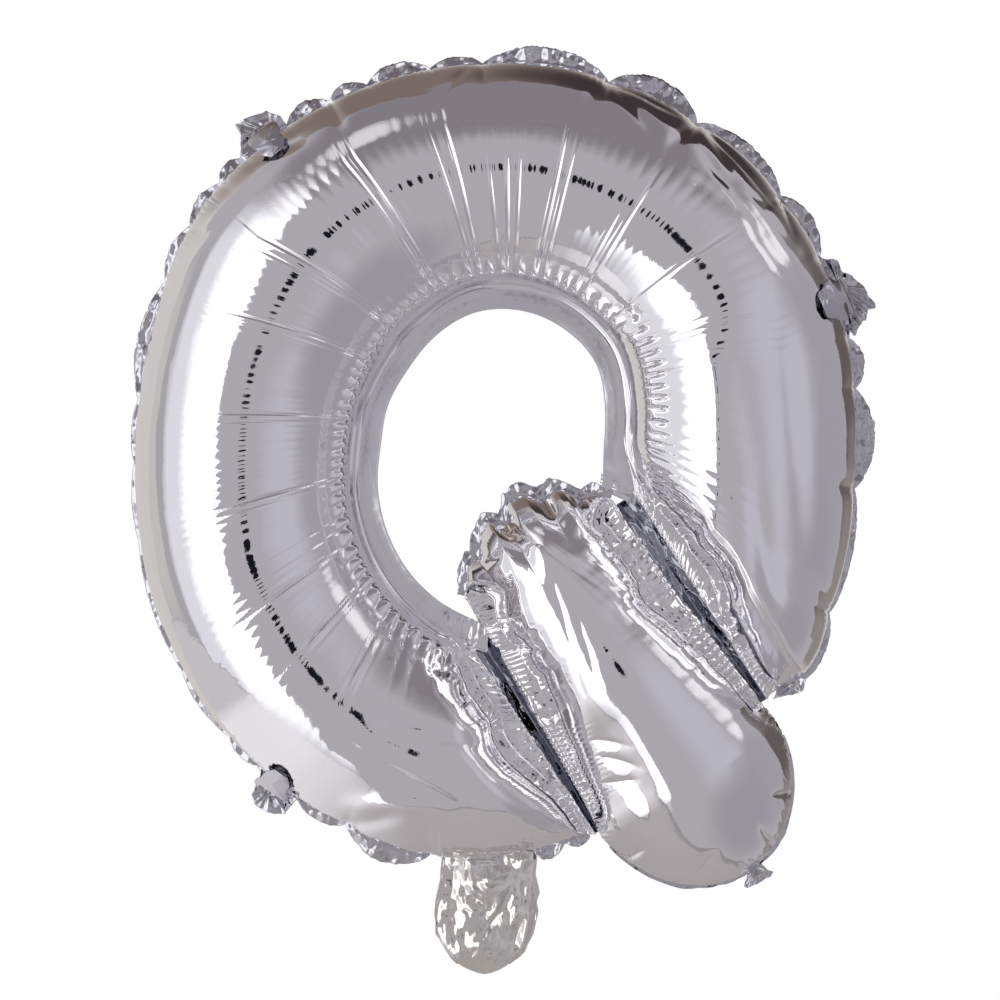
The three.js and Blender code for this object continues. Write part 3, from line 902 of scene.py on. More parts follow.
    def weld_pleats(self, grid: RingGrid) -> Array:
        """Short deep pleats that stand round the hole weld.

        Args:
            grid: Smooth shape of the ring.

        Returns:
            Height in millimetres.
        """
        start, across = grid.start, grid.across
        grain = Grain(self.seed + 1)
        pleat_width = np.where(start > self.change_angle, self.weld_pleat, self.right_weld_pleat)
        phase = (start - self.change_angle) / pleat_width + 0.3 * grain.along(start / 9)
        pleat = np.rint(phase)
        right = window(start, -22, -8, 38, 50)
        low = smooth_step(232, 242, start)
        reach = (0.24 + 0.20 * right + 0.10 * low) * (1 + 0.22 * grain.of(pleat + 40))
        depth = (0.24 + 0.42 * right + 0.25 * low) * (1 + 0.3 * grain.of(pleat + 900))
        crown = np.abs(np.cos(math.pi * phase)) ** 0.6 * (1 + 0.25 * grain.of(pleat + 70)) * (1 - right)
        bead = self.bead * crown * hill(across - 0.182, 0.025)
        bent = self.zigzag * right * hill(across - 0.215 - 0.035 * ribbed(phase), 0.035)
        held = window(across, 0.13, 0.20, reach * 0.6, reach * 1.15)
        return depth * held * (ribbed(phase) + 0.15) + bead + bent

    def crest_pleats(self, grid: RingGrid) -> Array:
        """Fine lens-shaped pleats along the ring's crest.

        Args:
            grid: Smooth shape of the ring.

        Returns:
            Height in millimetres.
        """
        start, across = grid.start, grid.across
        grain = Grain(self.seed + 2)
        phase = start / self.crest_pleat + 0.35 * grain.along(start / 7)
        pleat = np.rint(phase)
        middle = 0.565 + 0.02 * grain.of(pleat + 300)
        half = 0.15 + 0.035 * grain.of(pleat + 600)
        lens = np.clip(1 - ((across - middle) / half) ** 2, 0, 1)
        trail = 0.25 * window(across, 0.26, 0.36, 0.38, 0.5)
        crowd = np.clip(0.62 + 0.75 * grain.along(start / 8.5 + 11), 0.12, 1.1)
        crowd = crowd * window(start, 27, 31, 228, 240) * (1 - 0.4 * window(start, 98, 106, 146, 156))
        depth = 0.17 * (1 + 0.35 * grain.of(pleat + 77)) * (1 + 0.5 * smooth_step(150, 200, start))
        return depth * crowd * (lens + trail) * (ribbed(phase) + 0.2)

    def long_folds(self, grid: RingGrid) -> Array:
        """Creases that run from the hole weld past the crest.

        Args:
            grid: Smooth shape of the ring.

        Returns:
            Height in millimetres.
        """
        across = grid.across
        grain = Grain(self.seed + 3)
        width = 0.26 + 0.34 * across
        height = np.zeros_like(across)
        for number, (angle, depth, reach) in enumerate(RING_FOLDS):
            waver = 0.3 * grain.along(across * 4 + number * 13)
            arc = (grid.start - angle) * np.radians(grid.radius) + waver
            taper = window(across, 0.17, 0.25, reach - 0.22, reach + 0.02)
            shoulders = 0.35 * hill(np.abs(arc) - 2.3 * width, width)
            height += 0.55 * depth * taper * (shoulders - spike(arc, width))
        return height

    def rim_wrinkles(self, grid: RingGrid) -> Array:
        """Pinches of the rim with the short crimps beside them.

        Args:
            grid: Smooth shape of the ring.

        Returns:
            Height in millimetres.
        """
        angle, across = grid.angle, grid.across
        grain = Grain(self.seed + 4)
        crimped = 0.15 + 1.3 * window(angle, 261, 264, 274, 277)
        crimped += 0.9 * window(angle, 130, 134, 164, 176) + 0.6 * window(angle, 100, 103, 108, 112)
        for place, depth, _ in RIM_PINCHES:
            crimped += min(depth, 1.4) * hill((angle - place) * np.radians(grid.radius), 6.5)
        phase = angle / 1.05 + 0.3 * grain.along(angle / 3)
        reach = 0.90 + 0.03 * grain.of(np.rint(phase))
        crimps = 0.32 * crimped * window(across, reach - 0.05, reach + 0.03, 0.975, 0.998) * ribbed(phase)
        return ring_pinch(angle, grid.radius) * smooth_step(0.66, 1.0, across) ** 1.4 + crimps

    def slit_puckers(self, grid: RingGrid) -> Array:
        """Close puckers along the two ends beside the tail.

        Args:
            grid: Smooth shape of the ring.

        Returns:
            Height in millimetres.
        """
        along = arc_share(grid.across) * 100
        grain = Grain(self.seed + 5)
        height = np.zeros_like(along)
        for number, run in enumerate(grid.runs):
            phase = (along + 0.4 * run) / (self.slit_pleat * (0.85 + 0.35 * number))
            phase = phase + 0.4 * grain.along(along / 8 + 30 * number)
            pleat = np.rint(phase)
            reach = (10.5 + 2.5 * grain.of(pleat + 50 * number)) * (1 - 0.5 * smooth_step(38, 92, along))
            beside = hill(run, 2.6)
            held = window(run, 0, 1.2, 0.55 * reach, reach) * (1 + 3 * beside)
            crumpled = smooth_step(-0.1, 0.5, grain.along(along / 17 + 90 * number + 3))
            depth = (0.24 + 0.08 * number) * (1 + 0.4 * grain.of(pleat + 7)) * (1 - 0.75 * crumpled)
            crumple = 1.1 * crumpled * grain.facets(along * 1.2, run, 5.5)
            height += held * (depth * (ribbed(phase) + 0.1) + 0.25 * beside + crumple)
        return height

    def wrinkled(self) -> Array:
        """Wrinkles the film.

        Returns:
            Its places in millimetres.
        """
        grid = self.base()
        across, start = grid.across, grid.start
        grain = Grain(self.seed + 6)
        seams = window(across, 0, 0.05, 0.95, 1)
        cloud = 0.35 * grain.over(start / 11, across * 3)
        cloud += 0.10 * grain.over(start / 3.5, across * 2.2 + 5) * smooth_step(0.1, 0.5, across)
        cloud += 0.07 * grain.over(start / 16, across * 34) * smooth_step(0.5, 0.7, across)
        height = self.weld_pleats(grid) + self.crest_pleats(grid) + self.long_folds(grid) + cloud * seams
        for crease in self.creases:
            height += crease.rise(grid.x, grid.z) * seams
        step = smooth_step(0.96, 0.60, across) * (1 - spike(np.maximum(across - 0.42, 0), 0.075))
        height -= 4.4 * step * window(grid.angle, -34, -20, 16, 33)
        for run in grid.runs:
            height *= smooth_step(4, 26, run)
        height += self.rim_wrinkles(grid) + self.slit_puckers(grid) * seams
        return raised(grid.points, self.side, height)


@dataclass(frozen=True)
class TailEnds:
    """How far along the tail its film reaches, at its top in the hole and at its tip.

    Each pinch of the top has a place across the tail, a depth and a width.
    """

    top: float = 21.6
    droop: float = 22
    tip: float = 155
    tip_round: float = 50
    middle: float = -9.5
    half_width: float = 36
    pinches: tuple[Triple, ...] = (
        (-43.9, 2.0, 3.0), (-32.4, 4.0, 3.2), (-15.6, 6.8, 3.4), (2.8, 4.5, 3.6), (16.5, 3.5, 3.0),
    )

    def top_edge(self, side: Array) -> Array:
        """Distance along the tail of its top weld, drawn in at each pinch.

        Args:
            side: Place across the tail, from -1 at its left weld to 1 at its right weld.

        Returns:
            Distance along the tail in millimetres.
        """
        edge = self.top + self.droop * side * side
        aside = self.middle + self.half_width * side
        for place, depth, width in self.pinches:
            edge = edge + depth * np.maximum(1 - np.abs(aside - place) / (1.7 * width), 0)
        return edge

    def tip_edge(self, side: Array) -> Array:
        """Distance along the tail of its tip weld, at the same places."""
        return self.tip + self.tip_round * np.sqrt(np.maximum(1 - side * side, 0))


TAIL_ENDS = TailEnds()


@dataclass
class TailSkin:
    """Film of the letter's tail on one side."""

    side: Side
    columns: int
    rows: int
    seed: int
    creases: tuple[Crease, ...]
    top_closing: float = 30
    tip_closing: float = 48
    pleat: float = 2.7
    fullest: float = 82
    hem: Hem = Hem(3.2, 8.0)

    def base(self) -> tuple[Array, Array, Array, Array]:
        """Inflates the tail.

        Returns:
            Smooth places, the share across each, and the runs from the tail's top and from its tip.
        """
        even = np.linspace(0, 1, self.columns + 1)
        way = (arc_share(even) + even) / 2
        share, across = np.meshgrid(way, np.linspace(0, 1, self.rows + 1), indexing="ij")
        side = -np.cos(math.pi * across)
        top, tip = TAIL_ENDS.top_edge(side), TAIL_ENDS.tip_edge(side)
        along = blend(top, tip, share)
        left, right = PLAN.tail_sides(along)
        width = right - left
        rise = closing(along - top, self.top_closing) * closing(tip - along, self.tip_closing)
        beside_ring = window(along, 38, 52, 146, 160)
        gap = width * (1 - np.abs(side)) / 2
        grain = Grain(self.seed + 20)
        taper = smooth_step(86, 142, along)
        place = along + OTHER_DRAWS * (side > 0)
        wall = self.hem.wall(grain, place, taper) * beside_ring
        lifted = np.clip((gap - wall) / (width - 2 * wall), 0, 0.5)
        arch = 2 * np.sqrt(lifted * (1 - lifted)) * (1 - beside_ring * smooth_step(5, -1, gap - wall))
        edge = beside_ring * self.hem.profile(grain, place, taper, gap, wall + 0.5)
        swell = 1 - 0.08 * ((along - self.fullest) / 60) ** 2
        y = self.side.value * (PLAN.fullness * width * arch * swell + edge) * rise
        x, z = PLAN.tail_point(along, (left + right) / 2 + width / 2 * side)
        return np.stack([x, y, z], axis=2), across, along - top, tip - along

    def edge_puckers(self, along: Array, across: Array, top_run: Array, tip_run: Array) -> Array:
        """Puckers along the sides, the top and the tip of the tail.

        Args:
            along: Distance along the tail.
            across: Share across the film.
            top_run: Distance from the tail's top.
            tip_run: Distance from its tip.

        Returns:
            Height in millimetres.
        """
        grain = Grain(self.seed + 1)
        height = np.zeros_like(along)
        beside_ring = smooth_step(40, 56, along) * (1 - 0.6 * smooth_step(150, 170, along))
        for number, gone in enumerate((across, 1 - across)):
            phase = (along - 14 * gone) / (self.pleat * (0.85 + 0.35 * number))
            phase = phase + 0.4 * grain.along(along / 9 + 31 * number)
            pleat = np.rint(phase)
            low = (1 - number) * window(along, 108, 116, 142, 152)
            reach = (0.24 + 0.03 * grain.of(pleat + 60 * number)) * (1 - 0.3 * smooth_step(86, 142, along))
            reach = reach + 0.14 * low
            beside = hill(gone, 0.10)
            held = window(gone, 0, 0.07, 0.62 * reach, reach) * (1 + 3 * beside)
            crumpled = smooth_step(-0.1, 0.5, grain.along(along / 17 + 90 * number + 3))
            crumpled = crumpled * beside_ring * (1 - low)
            depth = (0.24 + 0.10 * number + 0.16 * low) * (1 - 0.75 * crumpled)
            depth = depth * (0.2 + 0.8 * beside_ring) * (1 + 0.4 * grain.of(pleat))
            crumple = 1.1 * crumpled * grain.facets(along * 1.2, gone * 36, 5.5)
            height += held * (depth * (ribbed(phase) + 0.2) + 0.25 * beside * beside_ring + crumple)
        turn = across * 32
        ends = (top_run, 9, 0.6 * smooth_step(0.66, 0.76, across)), (tip_run, 7, 0.3)
        for number, (gone, reach, share) in enumerate(ends):
            phase = turn + 0.4 * grain.along(turn / 3 + 17 * number)
            length = reach * (1 + 0.4 * grain.of(np.rint(phase) + 5 * number))
            height += share * window(gone, 0, 1.5, 0.3 * length, length) * ribbed(phase)
        return height

    def wrinkled(self) -> Array:
        """Wrinkles the film.

        Returns:
            Its places in millimetres.
        """
        points, across, top_run, tip_run = self.base()
        x, z = points[..., 0], points[..., 2]
        along, aside = PLAN.tail_coordinates(x, z)
        grain = Grain(self.seed + 2)
        seams = window(across, 0, 0.06, 0.94, 1) * smooth_step(0, 4, top_run) * smooth_step(0, 4, tip_run)
        fan = np.degrees(np.arctan2(aside + 14, along - 18))
        cloud = (0.22 * grain.along(fan / 5.5) + 0.09 * grain.along(fan / 1.7)) * smooth_step(8, 40, top_run)
        height = (cloud + 0.4 * grain.over(aside / 18, along / 45)) * seams
        for crease in self.creases:
            height += crease.rise(x, z) * smooth_step(0, 1.5, top_run) * smooth_step(0, 1.5, tip_run)
        height += self.edge_puckers(along, across, top_run, tip_run)
        return raised(points, self.side, height)


@dataclass
class LetterSkins:
    """The inflated films of ring and tail, front and back, with the ring's pinched ends apart."""

    end_share: float = 0.06
    lap: float = 0.0006

    def pieces(self) -> Iterator[Piece]:
        """Makes the films of the ring, then those of the tail.

        Yields:
            One piece for each film.
        """
        first, last = self.end_share, 1 - self.end_share
        films = []
        for side, seed, size, end_size, creases in (
            (Side.FRONT, 11, (1060, 92), (64, 300), FRONT_RING_CREASES),
            (Side.BACK, 47, (700, 46), (40, 160), ()),
        ):
            films += [
                ("ring", "bowl", "skin", RingSkin(side, *size, seed, first, last, creases)),
                ("ring", "bowl", "right_end", RingSkin(side, *end_size, seed, 0, first + self.lap, creases)),
                ("ring", "bowl", "left_end", RingSkin(side, *end_size, seed, last - self.lap, 1, creases)),
            ]
        films.append(("tail", "tail", "skin", TailSkin(Side.FRONT, 420, 200, 83, FRONT_TAIL_CREASES)))
        films.append(("tail", "tail", "skin", TailSkin(Side.BACK, 260, 120, 131, ())))
        for limb, solid, part, skin in films:
            names = f"{limb}_{skin.side.word}_{part}", f"{solid}_{skin.side.word}_foil"
            yield Piece(*names, "foil", skin.wrinkled(), MIRROR_FILM, side=skin.side)


@dataclass
class RimMargin:
    """Welded margin round the outside of the ring, crimped and standing in scallops."""

    columns_per_degree: float = 4.0
    rows: int = 8
    least: float = 1.0

    def strip(self, first: float, last: float, seed: int) -> Array:
        """Places of the margin between two angles.

        Args:
            first: Angle where it starts.
            last: Angle where it ends.
            seed: Seed of its crimps.

        Returns:
            Places in millimetres, along the rim and outwards.
        """
        grain = Grain(seed)
        angle, out = lattice(int((last - first) * self.columns_per_degree), self.rows, first, last)
        weld = PLAN.radius(angle, PLAN.outer)
        weld = weld + ring_pinch(angle, weld)
        edges, _, heights = np.array(RIM_PINCHES).T
        place = np.clip(np.searchsorted(edges, angle, side="right") - 1, 0, edges.size - 2)
        share = np.clip((angle - edges[place]) / (edges[place + 1] - edges[place]), 0, 1)
        swell = self.least + (heights[place] - self.least) * np.sin(math.pi * share) ** 0.8
        ragged = 1 + 0.07 * grain.along(angle * 1.7) + 0.04 * grain.along(angle * 5.1)
        x, z = polar(angle, weld - WELD_TUCK + out * (WELD_TUCK + swell * ragged))
        lean = 0.42 + 0.35 * grain.along(place * 3.7 + 0.5)
        crimp = 0.10 * ribbed(angle / 1.1 + 0.5 * grain.along(angle)) * smooth_step(0.05, 0.3, out)
        free = smooth_step(0.05, 0.45, out) * np.clip(swell / 3, 0.25, 1.3)
        crumple = (2.5 * grain.facets(x, z, 4.8) + 0.3 * grain.facets(x, z, 2.4)) * free
        return np.stack([x, swell * out * lean + crimp + crumple, z], axis=2)

    def pieces(self) -> Iterator[Piece]:
        """Makes the long margin and the short one past the neck.

        Yields:
            One piece for each margin.
        """
        for word, first, last, seed in (("rim", -38, 260.3, 211), ("corner", 274.4, 283, 223)):
            names = f"ring_{word}_margin", f"bowl_{word}_weld"
            yield Piece(*names, "weld", self.strip(first, last, seed), WELDED_FILM, WELD_THICKNESS)


@dataclass
class HoleMargin:
    """Flat welded margin round the hole, which curls forward at its free edge."""

    first: float = -24.0
    last: float = 266.5
    curl: float = 1.9
    columns: int = 900
    rows: int = 14
    end_tuck: float = 3.4

    def pieces(self) -> Iterator[Piece]:
        """Makes the margin.

        Yields:
            The one piece.
        """
        grain = Grain(307)
        angle, out = lattice(self.columns, self.rows, self.first, self.last)
        weld = PLAN.radius(angle, PLAN.inner) + WELD_TUCK + self.end_tuck * smooth_step(-3, -16, angle)
        x, z = polar(angle, blend(PLAN.radius(angle, PLAN.hole), weld, out))
        held = window(angle, -21, -12, 243, 254)
        y = -self.curl * (1 - out) ** 2 * (1 + 0.35 * grain.along(angle / 25)) * held
        cloud = 0.10 * grain.over(angle / 14, out * 3) + 0.02 * grain.over(angle / 3, out * 12)
        y = y + cloud * smooth_step(0.95, 0.35, out)
        pulled = smooth_step(249, 262, angle) + smooth_step(-14, -21, angle)
        creased = 2.2 * grain.facets(x, z, 7.0) + 0.3 * ribbed(angle / 2.1)
        y = y + creased * pulled * np.sin(math.pi * np.minimum(out + 0.15, 1))
        points = np.stack([x, y, z], axis=2)
        yield Piece("hole_margin", "hole_weld", "weld", points, SEALED_FILM, WELD_THICKNESS)


@dataclass
class SlitWebs:
    """Flat webs of welded film between the ring and the tail, in a darker film that is painted shade of their
    recess.
    """

    columns: int = 220
    rows: int = 24
    ridge: float = 3.6

    def pieces(self) -> Iterator[Piece]:
        """Makes both webs; away is the direction of the ring across the tail.

        Yields:
            One piece for each web.
        """
        share, over = lattice(self.columns, self.rows)
        webs = ("left", PLAN.left_slit, -1, 401), ("right", PLAN.right_slit, 1, 409)
        for number, (word, slit, away, seed) in enumerate(webs):
            along = blend(slit[0][0], slit[1][0], share)
            ring = blend(slit[0][1], slit[1][1], share) + away * WELD_TUCK
            tail = PLAN.tail_sides(along)[number] - away * WELD_TUCK
            x, z = PLAN.tail_point(along, blend(ring, tail, over))
            crumple = 1.8 * Grain(seed).facets(along * 0.6, 1.6 * over * (tail - ring), 5.0)
            y = self.ridge * (1 - np.abs(2 * over - 1)) ** 0.9 + crumple * np.sin(math.pi * over)
            points = np.stack([x, y, z], axis=2)
            # The webs' darker film is painted shade of their recess
            yield Piece(f"{word}_slit_web", f"{word}_web", "weld", points, SHADED_WEB_FILM, WELD_THICKNESS)


@dataclass
class TailMargins:
    """Crumpled margins round the tail's top in the hole and round its tip."""

    top_margin: float = 4.5
    tip_margin: float = 1.5
    columns: int = 360
    rows: int = 12

    def pieces(self) -> Iterator[Piece]:
        """Makes both margins.

        Out is the direction from the film, margin how far it stands past it, and inset the share that
        is left free at both of its ends.

        Yields:
            One piece for each margin.
        """
        for word, edge_at, out, margin, inset, seed in (
            ("top", TAIL_ENDS.top_edge, -1, self.top_margin, 0.0, 503),
            ("tip", TAIL_ENDS.tip_edge, 1, self.tip_margin, 0.06, 509),
        ):
            grain = Grain(seed)
            across, over = lattice(self.columns, self.rows, inset, 1 - inset)
            side = -np.cos(math.pi * across)
            edge = edge_at(side)
            left, right = PLAN.tail_sides(edge)
            ragged = 1 + 0.45 * grain.along(across * 14) + 0.2 * grain.along(across * 47)
            beyond = over * margin * ragged * (1 - 0.4 * side * side) - (1 - over) * WELD_TUCK
            aside = (left + right) / 2 + ((right - left) / 2 + blend(-WELD_TUCK, margin / 2, over)) * side
            x, z = PLAN.tail_point(edge + out * beyond, aside)
            crumple = 0.42 * grain.facets(x, z, 5.0) + 0.06 * grain.facets(x, z, 2.0)
            points = np.stack([x, margin * crumple * smooth_step(0.1, 0.6, over), z], axis=2)
            names = f"tail_{word}_margin", f"tail_{word}_weld"
            yield Piece(*names, "weld", points, WELDED_FILM, WELD_THICKNESS)


# Outline of the neck from its top to its foot: height, left edge and right edge
NECK_OUTLINE = (
    (-164, -23.8, 15.0), (-173.1, -23.3, 15.0), (-179.4, -24.1, 13.9), (-186.9, -25.4, 15.4),
    (-196, -26.2, 14.6), (-202.7, -25.8, 13.3), (-207, -24.4, 11.6), (-210.6, -22.5, 9.6),
    (-213.3, -20.4, 7.1), (-215.2, -18.3, 4.6), (-217.2, -15.4, 1.9), (-218.5, -12.5, -0.4),
    (-219.7, -9.4, -3.6), (-220.2, -6.9, -6.2),
)


@dataclass
class Neck:
    """Flat filling neck below the ring, with its wrinkled films and side margins."""

    bulge: float = 3.2
    closing_reach: float = 12
    margin: float = 1.4
    columns: int = 120
    rows: int = 110
    margin_columns: int = 149
    margin_rows: int = 6
    thickness: float = 0.08

    def edges(self, z: Array) -> tuple[Array, Array]:
        """Left and right edge at a height."""
        heights, left, right = np.array(NECK_OUTLINE)[::-1].T
        return np.interp(z, heights, left), np.interp(z, heights, right)

    def film(self, side: Side, seed: int) -> Array:
        """Places of one film of the neck, down it and across.

        Args:
            side: Side of the balloon that it is on.
            seed: Seed of its crumples.

        Returns:
            Places in millimetres.
        """
        grain = Grain(seed)
        share, across = lattice(self.columns, self.rows)
        top, bottom = NECK_OUTLINE[0][0], NECK_OUTLINE[-1][0]
        z = blend(top, bottom, np.sin(share * math.pi / 2))
        x = blend(*self.edges(z), arc_share(across))
        rise, belly = closing(z - bottom, self.closing_reach), np.sin(math.pi * across)
        seam = belly ** 0.6 * rise
        crumple = 3.4 * grain.facets(x * 1.2, z, 11.0) + 0.9 * grain.facets(x * 1.3, z, 4.6)
        crumple = crumple + 1.2 * grain.facets(x, z, 3.4) * smooth_step(-181, -174, z)
        if side is Side.FRONT:
            for crease in NECK_CREASES:
                crumple = crumple + crease.rise(x, z)
        y = (self.bulge * belly * rise + crumple) * seam
        y = np.maximum(y, 0.12) * smooth_step(-169, -173, z) + 0.1
        return np.stack([x, side.value * y, z], axis=2)

    def side_margin(self, way: int, seed: int) -> Array:
        """Places of the welded margin down one side of the neck.

        Args:
            way: -1 for the left side and 1 for the right side.
            seed: Seed of its crumples.

        Returns:
            Places in millimetres, down the neck and outwards.
        """
        grain = Grain(seed)
        down, out = lattice(self.margin_columns, self.margin_rows)
        z = blend(-168, -216, down)
        edge = self.edges(z)[way > 0]
        x = edge + way * (out * self.margin * (1 + 0.5 * grain.along(down * 11)) - 0.6)
        y = (0.5 * grain.facets(x, z, 3.5) + 0.2 * grain.along(z / 2.2)) * smooth_step(0, 0.5, out)
        return np.stack([x, y, z], axis=2)

    def pieces(self) -> Iterator[Piece]:
        """Makes the films, then the margins.

        Yields:
            One piece for each film and margin.
        """
        for side, seed in ((Side.FRONT, 601), (Side.BACK, 607)):
            names = f"neck_{side.word}", f"neck_{side.word}_film"
            yield Piece(*names, "neck_film", self.film(side, seed), NECK_FILM, side=side)
        for word, way, seed in (("left", -1, 613), ("right", 1, 617)):
            names = f"neck_{word}_margin", f"neck_{word}_weld"
            yield Piece(*names, "neck_film", self.side_margin(way, seed), NECK_FILM, self.thickness)


@dataclass(frozen=True)
class TabFilm:
    """Creased film of a hanging tab."""

    name: str
    node: str
    folds: float
    seed: int

    def places(self) -> Array:
        """Places of the film in millimetres."""
        raise NotImplementedError

    def pieces(self) -> Iterator[Piece]:
        """Makes the film."""
        yield Piece(self.name, self.node, "tab", self.places(), WELDED_FILM, TAB_THICKNESS)


@dataclass(frozen=True)
class Star(TabFilm):
    """Fan of film that stands round its pinch at the rim.

    The outline goes once round the pinch. Lift is how far the far edge stands towards the front.
    """

    lift: float
    pinch: Spot
    outline: tuple[Spot, ...]
    columns: int = 130
    rows: int = 18

    def places(self) -> Array:
        """Lays out the fan.

        Returns:
            Its places in millimetres, round the pinch and outwards.
        """
        grain = Grain(self.seed)
        corners = np.array([seen(*corner) for corner in self.outline + self.outline[:1]])
        gone = np.concatenate([[0], np.cumsum(np.hypot(*np.diff(corners, axis=0).T))])
        turn, share = lattice(self.columns, self.rows, 0, gone[-1])
        out = blend(0.03, 1, share)
        centre = seen(*self.pinch)
        from_x, from_z = (np.interp(turn, gone, corners[:, part]) - centre[part] for part in range(2))
        ragged = 1 + 0.05 * grain.along(turn / 1.9)
        x = centre[0] + from_x * out * ragged
        z = centre[1] + from_z * out * ragged
        folds = ribbed(self.folds * turn / gone[-1] + 1.7 * grain.along(turn / 7))
        y = 0.15 * np.hypot(from_x, from_z) * folds * np.minimum(out * 1.6, 1) * (1 - 0.4 * out)
        y = y + 2.4 * grain.facets(x, z, 6.5) * smooth_step(0.1, 0.5, out)
        y = y - self.lift * out * (0.6 + 0.8 * grain.along(turn / 9 + 3))
        return np.stack([x, y, z], axis=2)


@dataclass(frozen=True)
class Flap(TabFilm):
    """Strip of a tab that is folded forward over the ring.

    Each step of its path gives its distance from the middle of the hole, its depth towards the
    front and half its width.
    """

    angle: float
    path: tuple[Triple, ...]
    columns: int = 48
    rows: int = 48

    def places(self) -> Array:
        """Lays out the flap.

        Returns:
            Its places in millimetres, along its path and across it.
        """
        grain = Grain(self.seed)
        along, over = lattice(self.columns, self.rows)
        aside = 2 * over - 1
        place = along * (len(self.path) - 1)
        radius, depth, half = (np.interp(place, range(len(self.path)), part) for part in zip(*self.path))
        x, z = polar(self.angle, radius)
        turn = math.radians(self.angle)
        reach = aside * half * (1 + 0.12 * grain.along(place * 1.7))
        fold = 0.05 * ribbed(self.folds * aside / 2 + 0.8 * grain.along(place)) + 0.24 * aside * aside
        y = half * fold - depth + 0.5 * grain.facets(aside * half, depth, 9.0)
        return np.stack([x - math.sin(turn) * reach, y, z + math.cos(turn) * reach], axis=2)


TABS = (
    Star("upper_left_star", "upper_left_tab", 4, 701, 1.5, (271, 133),
         ((242, 158), (242, 140), (235, 126), (250, 117), (266, 111), (281, 116), (290, 128), (286, 146),
          (262, 160))),
    Flap("upper_left_flap", "upper_left_tab", 2, 709, 127.4,
         ((164.6, 0, 2.5), (164.8, 11, 5), (162.4, 19, 6.5), (157.6, 24.6, 7), (153, 28.4, 6),
          (149.6, 30.6, 3.5))),
    Star("right_star", "right_tab", 5, 719, 1.5, (839, 286),
         ((823, 259), (837, 260), (842, 272), (852, 276), (862, 285), (874, 303), (876, 308), (868, 310),
          (862, 325), (853, 335), (842, 322), (826, 300), (822, 278))),
    Flap("right_flap", "right_tab", 2, 727, 23.2,
         ((157.6, 0, 3), (158, 10, 6), (155.6, 17, 8), (151.2, 22, 8.5), (146.8, 26, 7.5), (143.2, 29.2, 5))),
    Star("lower_left_star", "lower_left_tab", 4, 733, 1.5, (270, 790),
         ((262, 768), (277, 762), (292, 780), (300, 796), (293, 803), (285, 814), (268, 813), (256, 804),
          (252, 794))),
    Flap("lower_left_flap", "lower_left_tab", 2, 739, 236.4,
         ((173, 0, 5), (173.6, 8, 6.5), (171.6, 14.5, 7), (168, 19.5, 7), (164.6, 23.4, 5.5),
          (162, 26, 3.5))),
    Star("lower_right_star", "lower_right_tab", 4, 743, 1.0, (796, 681),
         ((803, 671), (806, 681), (803, 690), (797, 694), (784, 696), (774, 698), (778, 686), (790, 672))),
    Star("tail_tip_star", "tail_tip_tab", 4, 751, 0.8, (757, 867),
         ((761, 863), (769, 871), (774, 872), (771, 876), (755, 884), (747, 888), (744, 886), (748, 872))),
)


@dataclass(frozen=True)
class Patch:
    """Soft round field of tone: its direction, its inner and outer radius in degrees, and its tone."""

    direction: Triple
    inner: float
    outer: float
    tone: str


@dataclass(frozen=True)
class SoftBox:
    """Flat light of the studio.

    The four edges are tangents from the direction of its middle, each with the softness of that edge.
    """

    direction: Triple
    right: Spot
    left: Spot
    foot: Spot
    head: Spot
    tone: str
    strength: float


# Fields of the room in front of the balloon and behind it, then the flat lights, the wide weak ones first
FRONT_PATCHES = (
    Patch((0, -0.3, 1), 28, 50, "827D82"),
    Patch((-0.35, -0.45, 0.82), 3, 12, "D6D4D8"),
    Patch((0.9, -0.9, 0), 5, 34, "B9B7BF"),
    Patch((1, 0, 0), 8, 40, "9E9BA1"),
    Patch((0, -0.3, -1), 30, 70, "ABA8AC"),
    Patch((0.8, -0.3, -0.6), 10, 40, "99969C"),
    Patch((0.80, -0.28, 0.53), 3, 11, "EAE8EC"),
    Patch((-1, 0.30, 0), 10, 28, "C0BDBA"),
)
BACK_PATCHES = (
    Patch((-0.1, 0.5, 0.9), 18, 50, "7A6C66"),
    Patch((0.45, 0.45, 0.8), 12, 36, "3C3536"),
    Patch((0.85, 0.6, 0.1), 12, 38, "605A58"),
    Patch((0.8, 0.75, -0.45), 10, 30, "8A8582"),
    Patch((0.1, 0.6, -0.8), 15, 40, "B5B0AE"),
)
SOFT_BOXES = (
    SoftBox((-0.866, -0.5, 0.0), (0.66, 0.02), (0.52, 0.10), (1.15, 0.35), (0.85, 0.35), "DCDBE1", 1.06),
    SoftBox((-0.996, 0.087, 0.0), (0.09, 0.02), (0.09, 0.02), (0.8, 0.2), (0.6, 0.2), "A7A5A9", 1.06),
    SoftBox((-0.68, -0.733, 0.0), (0.31, 0.02), (0.36, 0.14), (0.66, 0.28), (0.62, 0.36), "FFFFFF", 1.45),
)


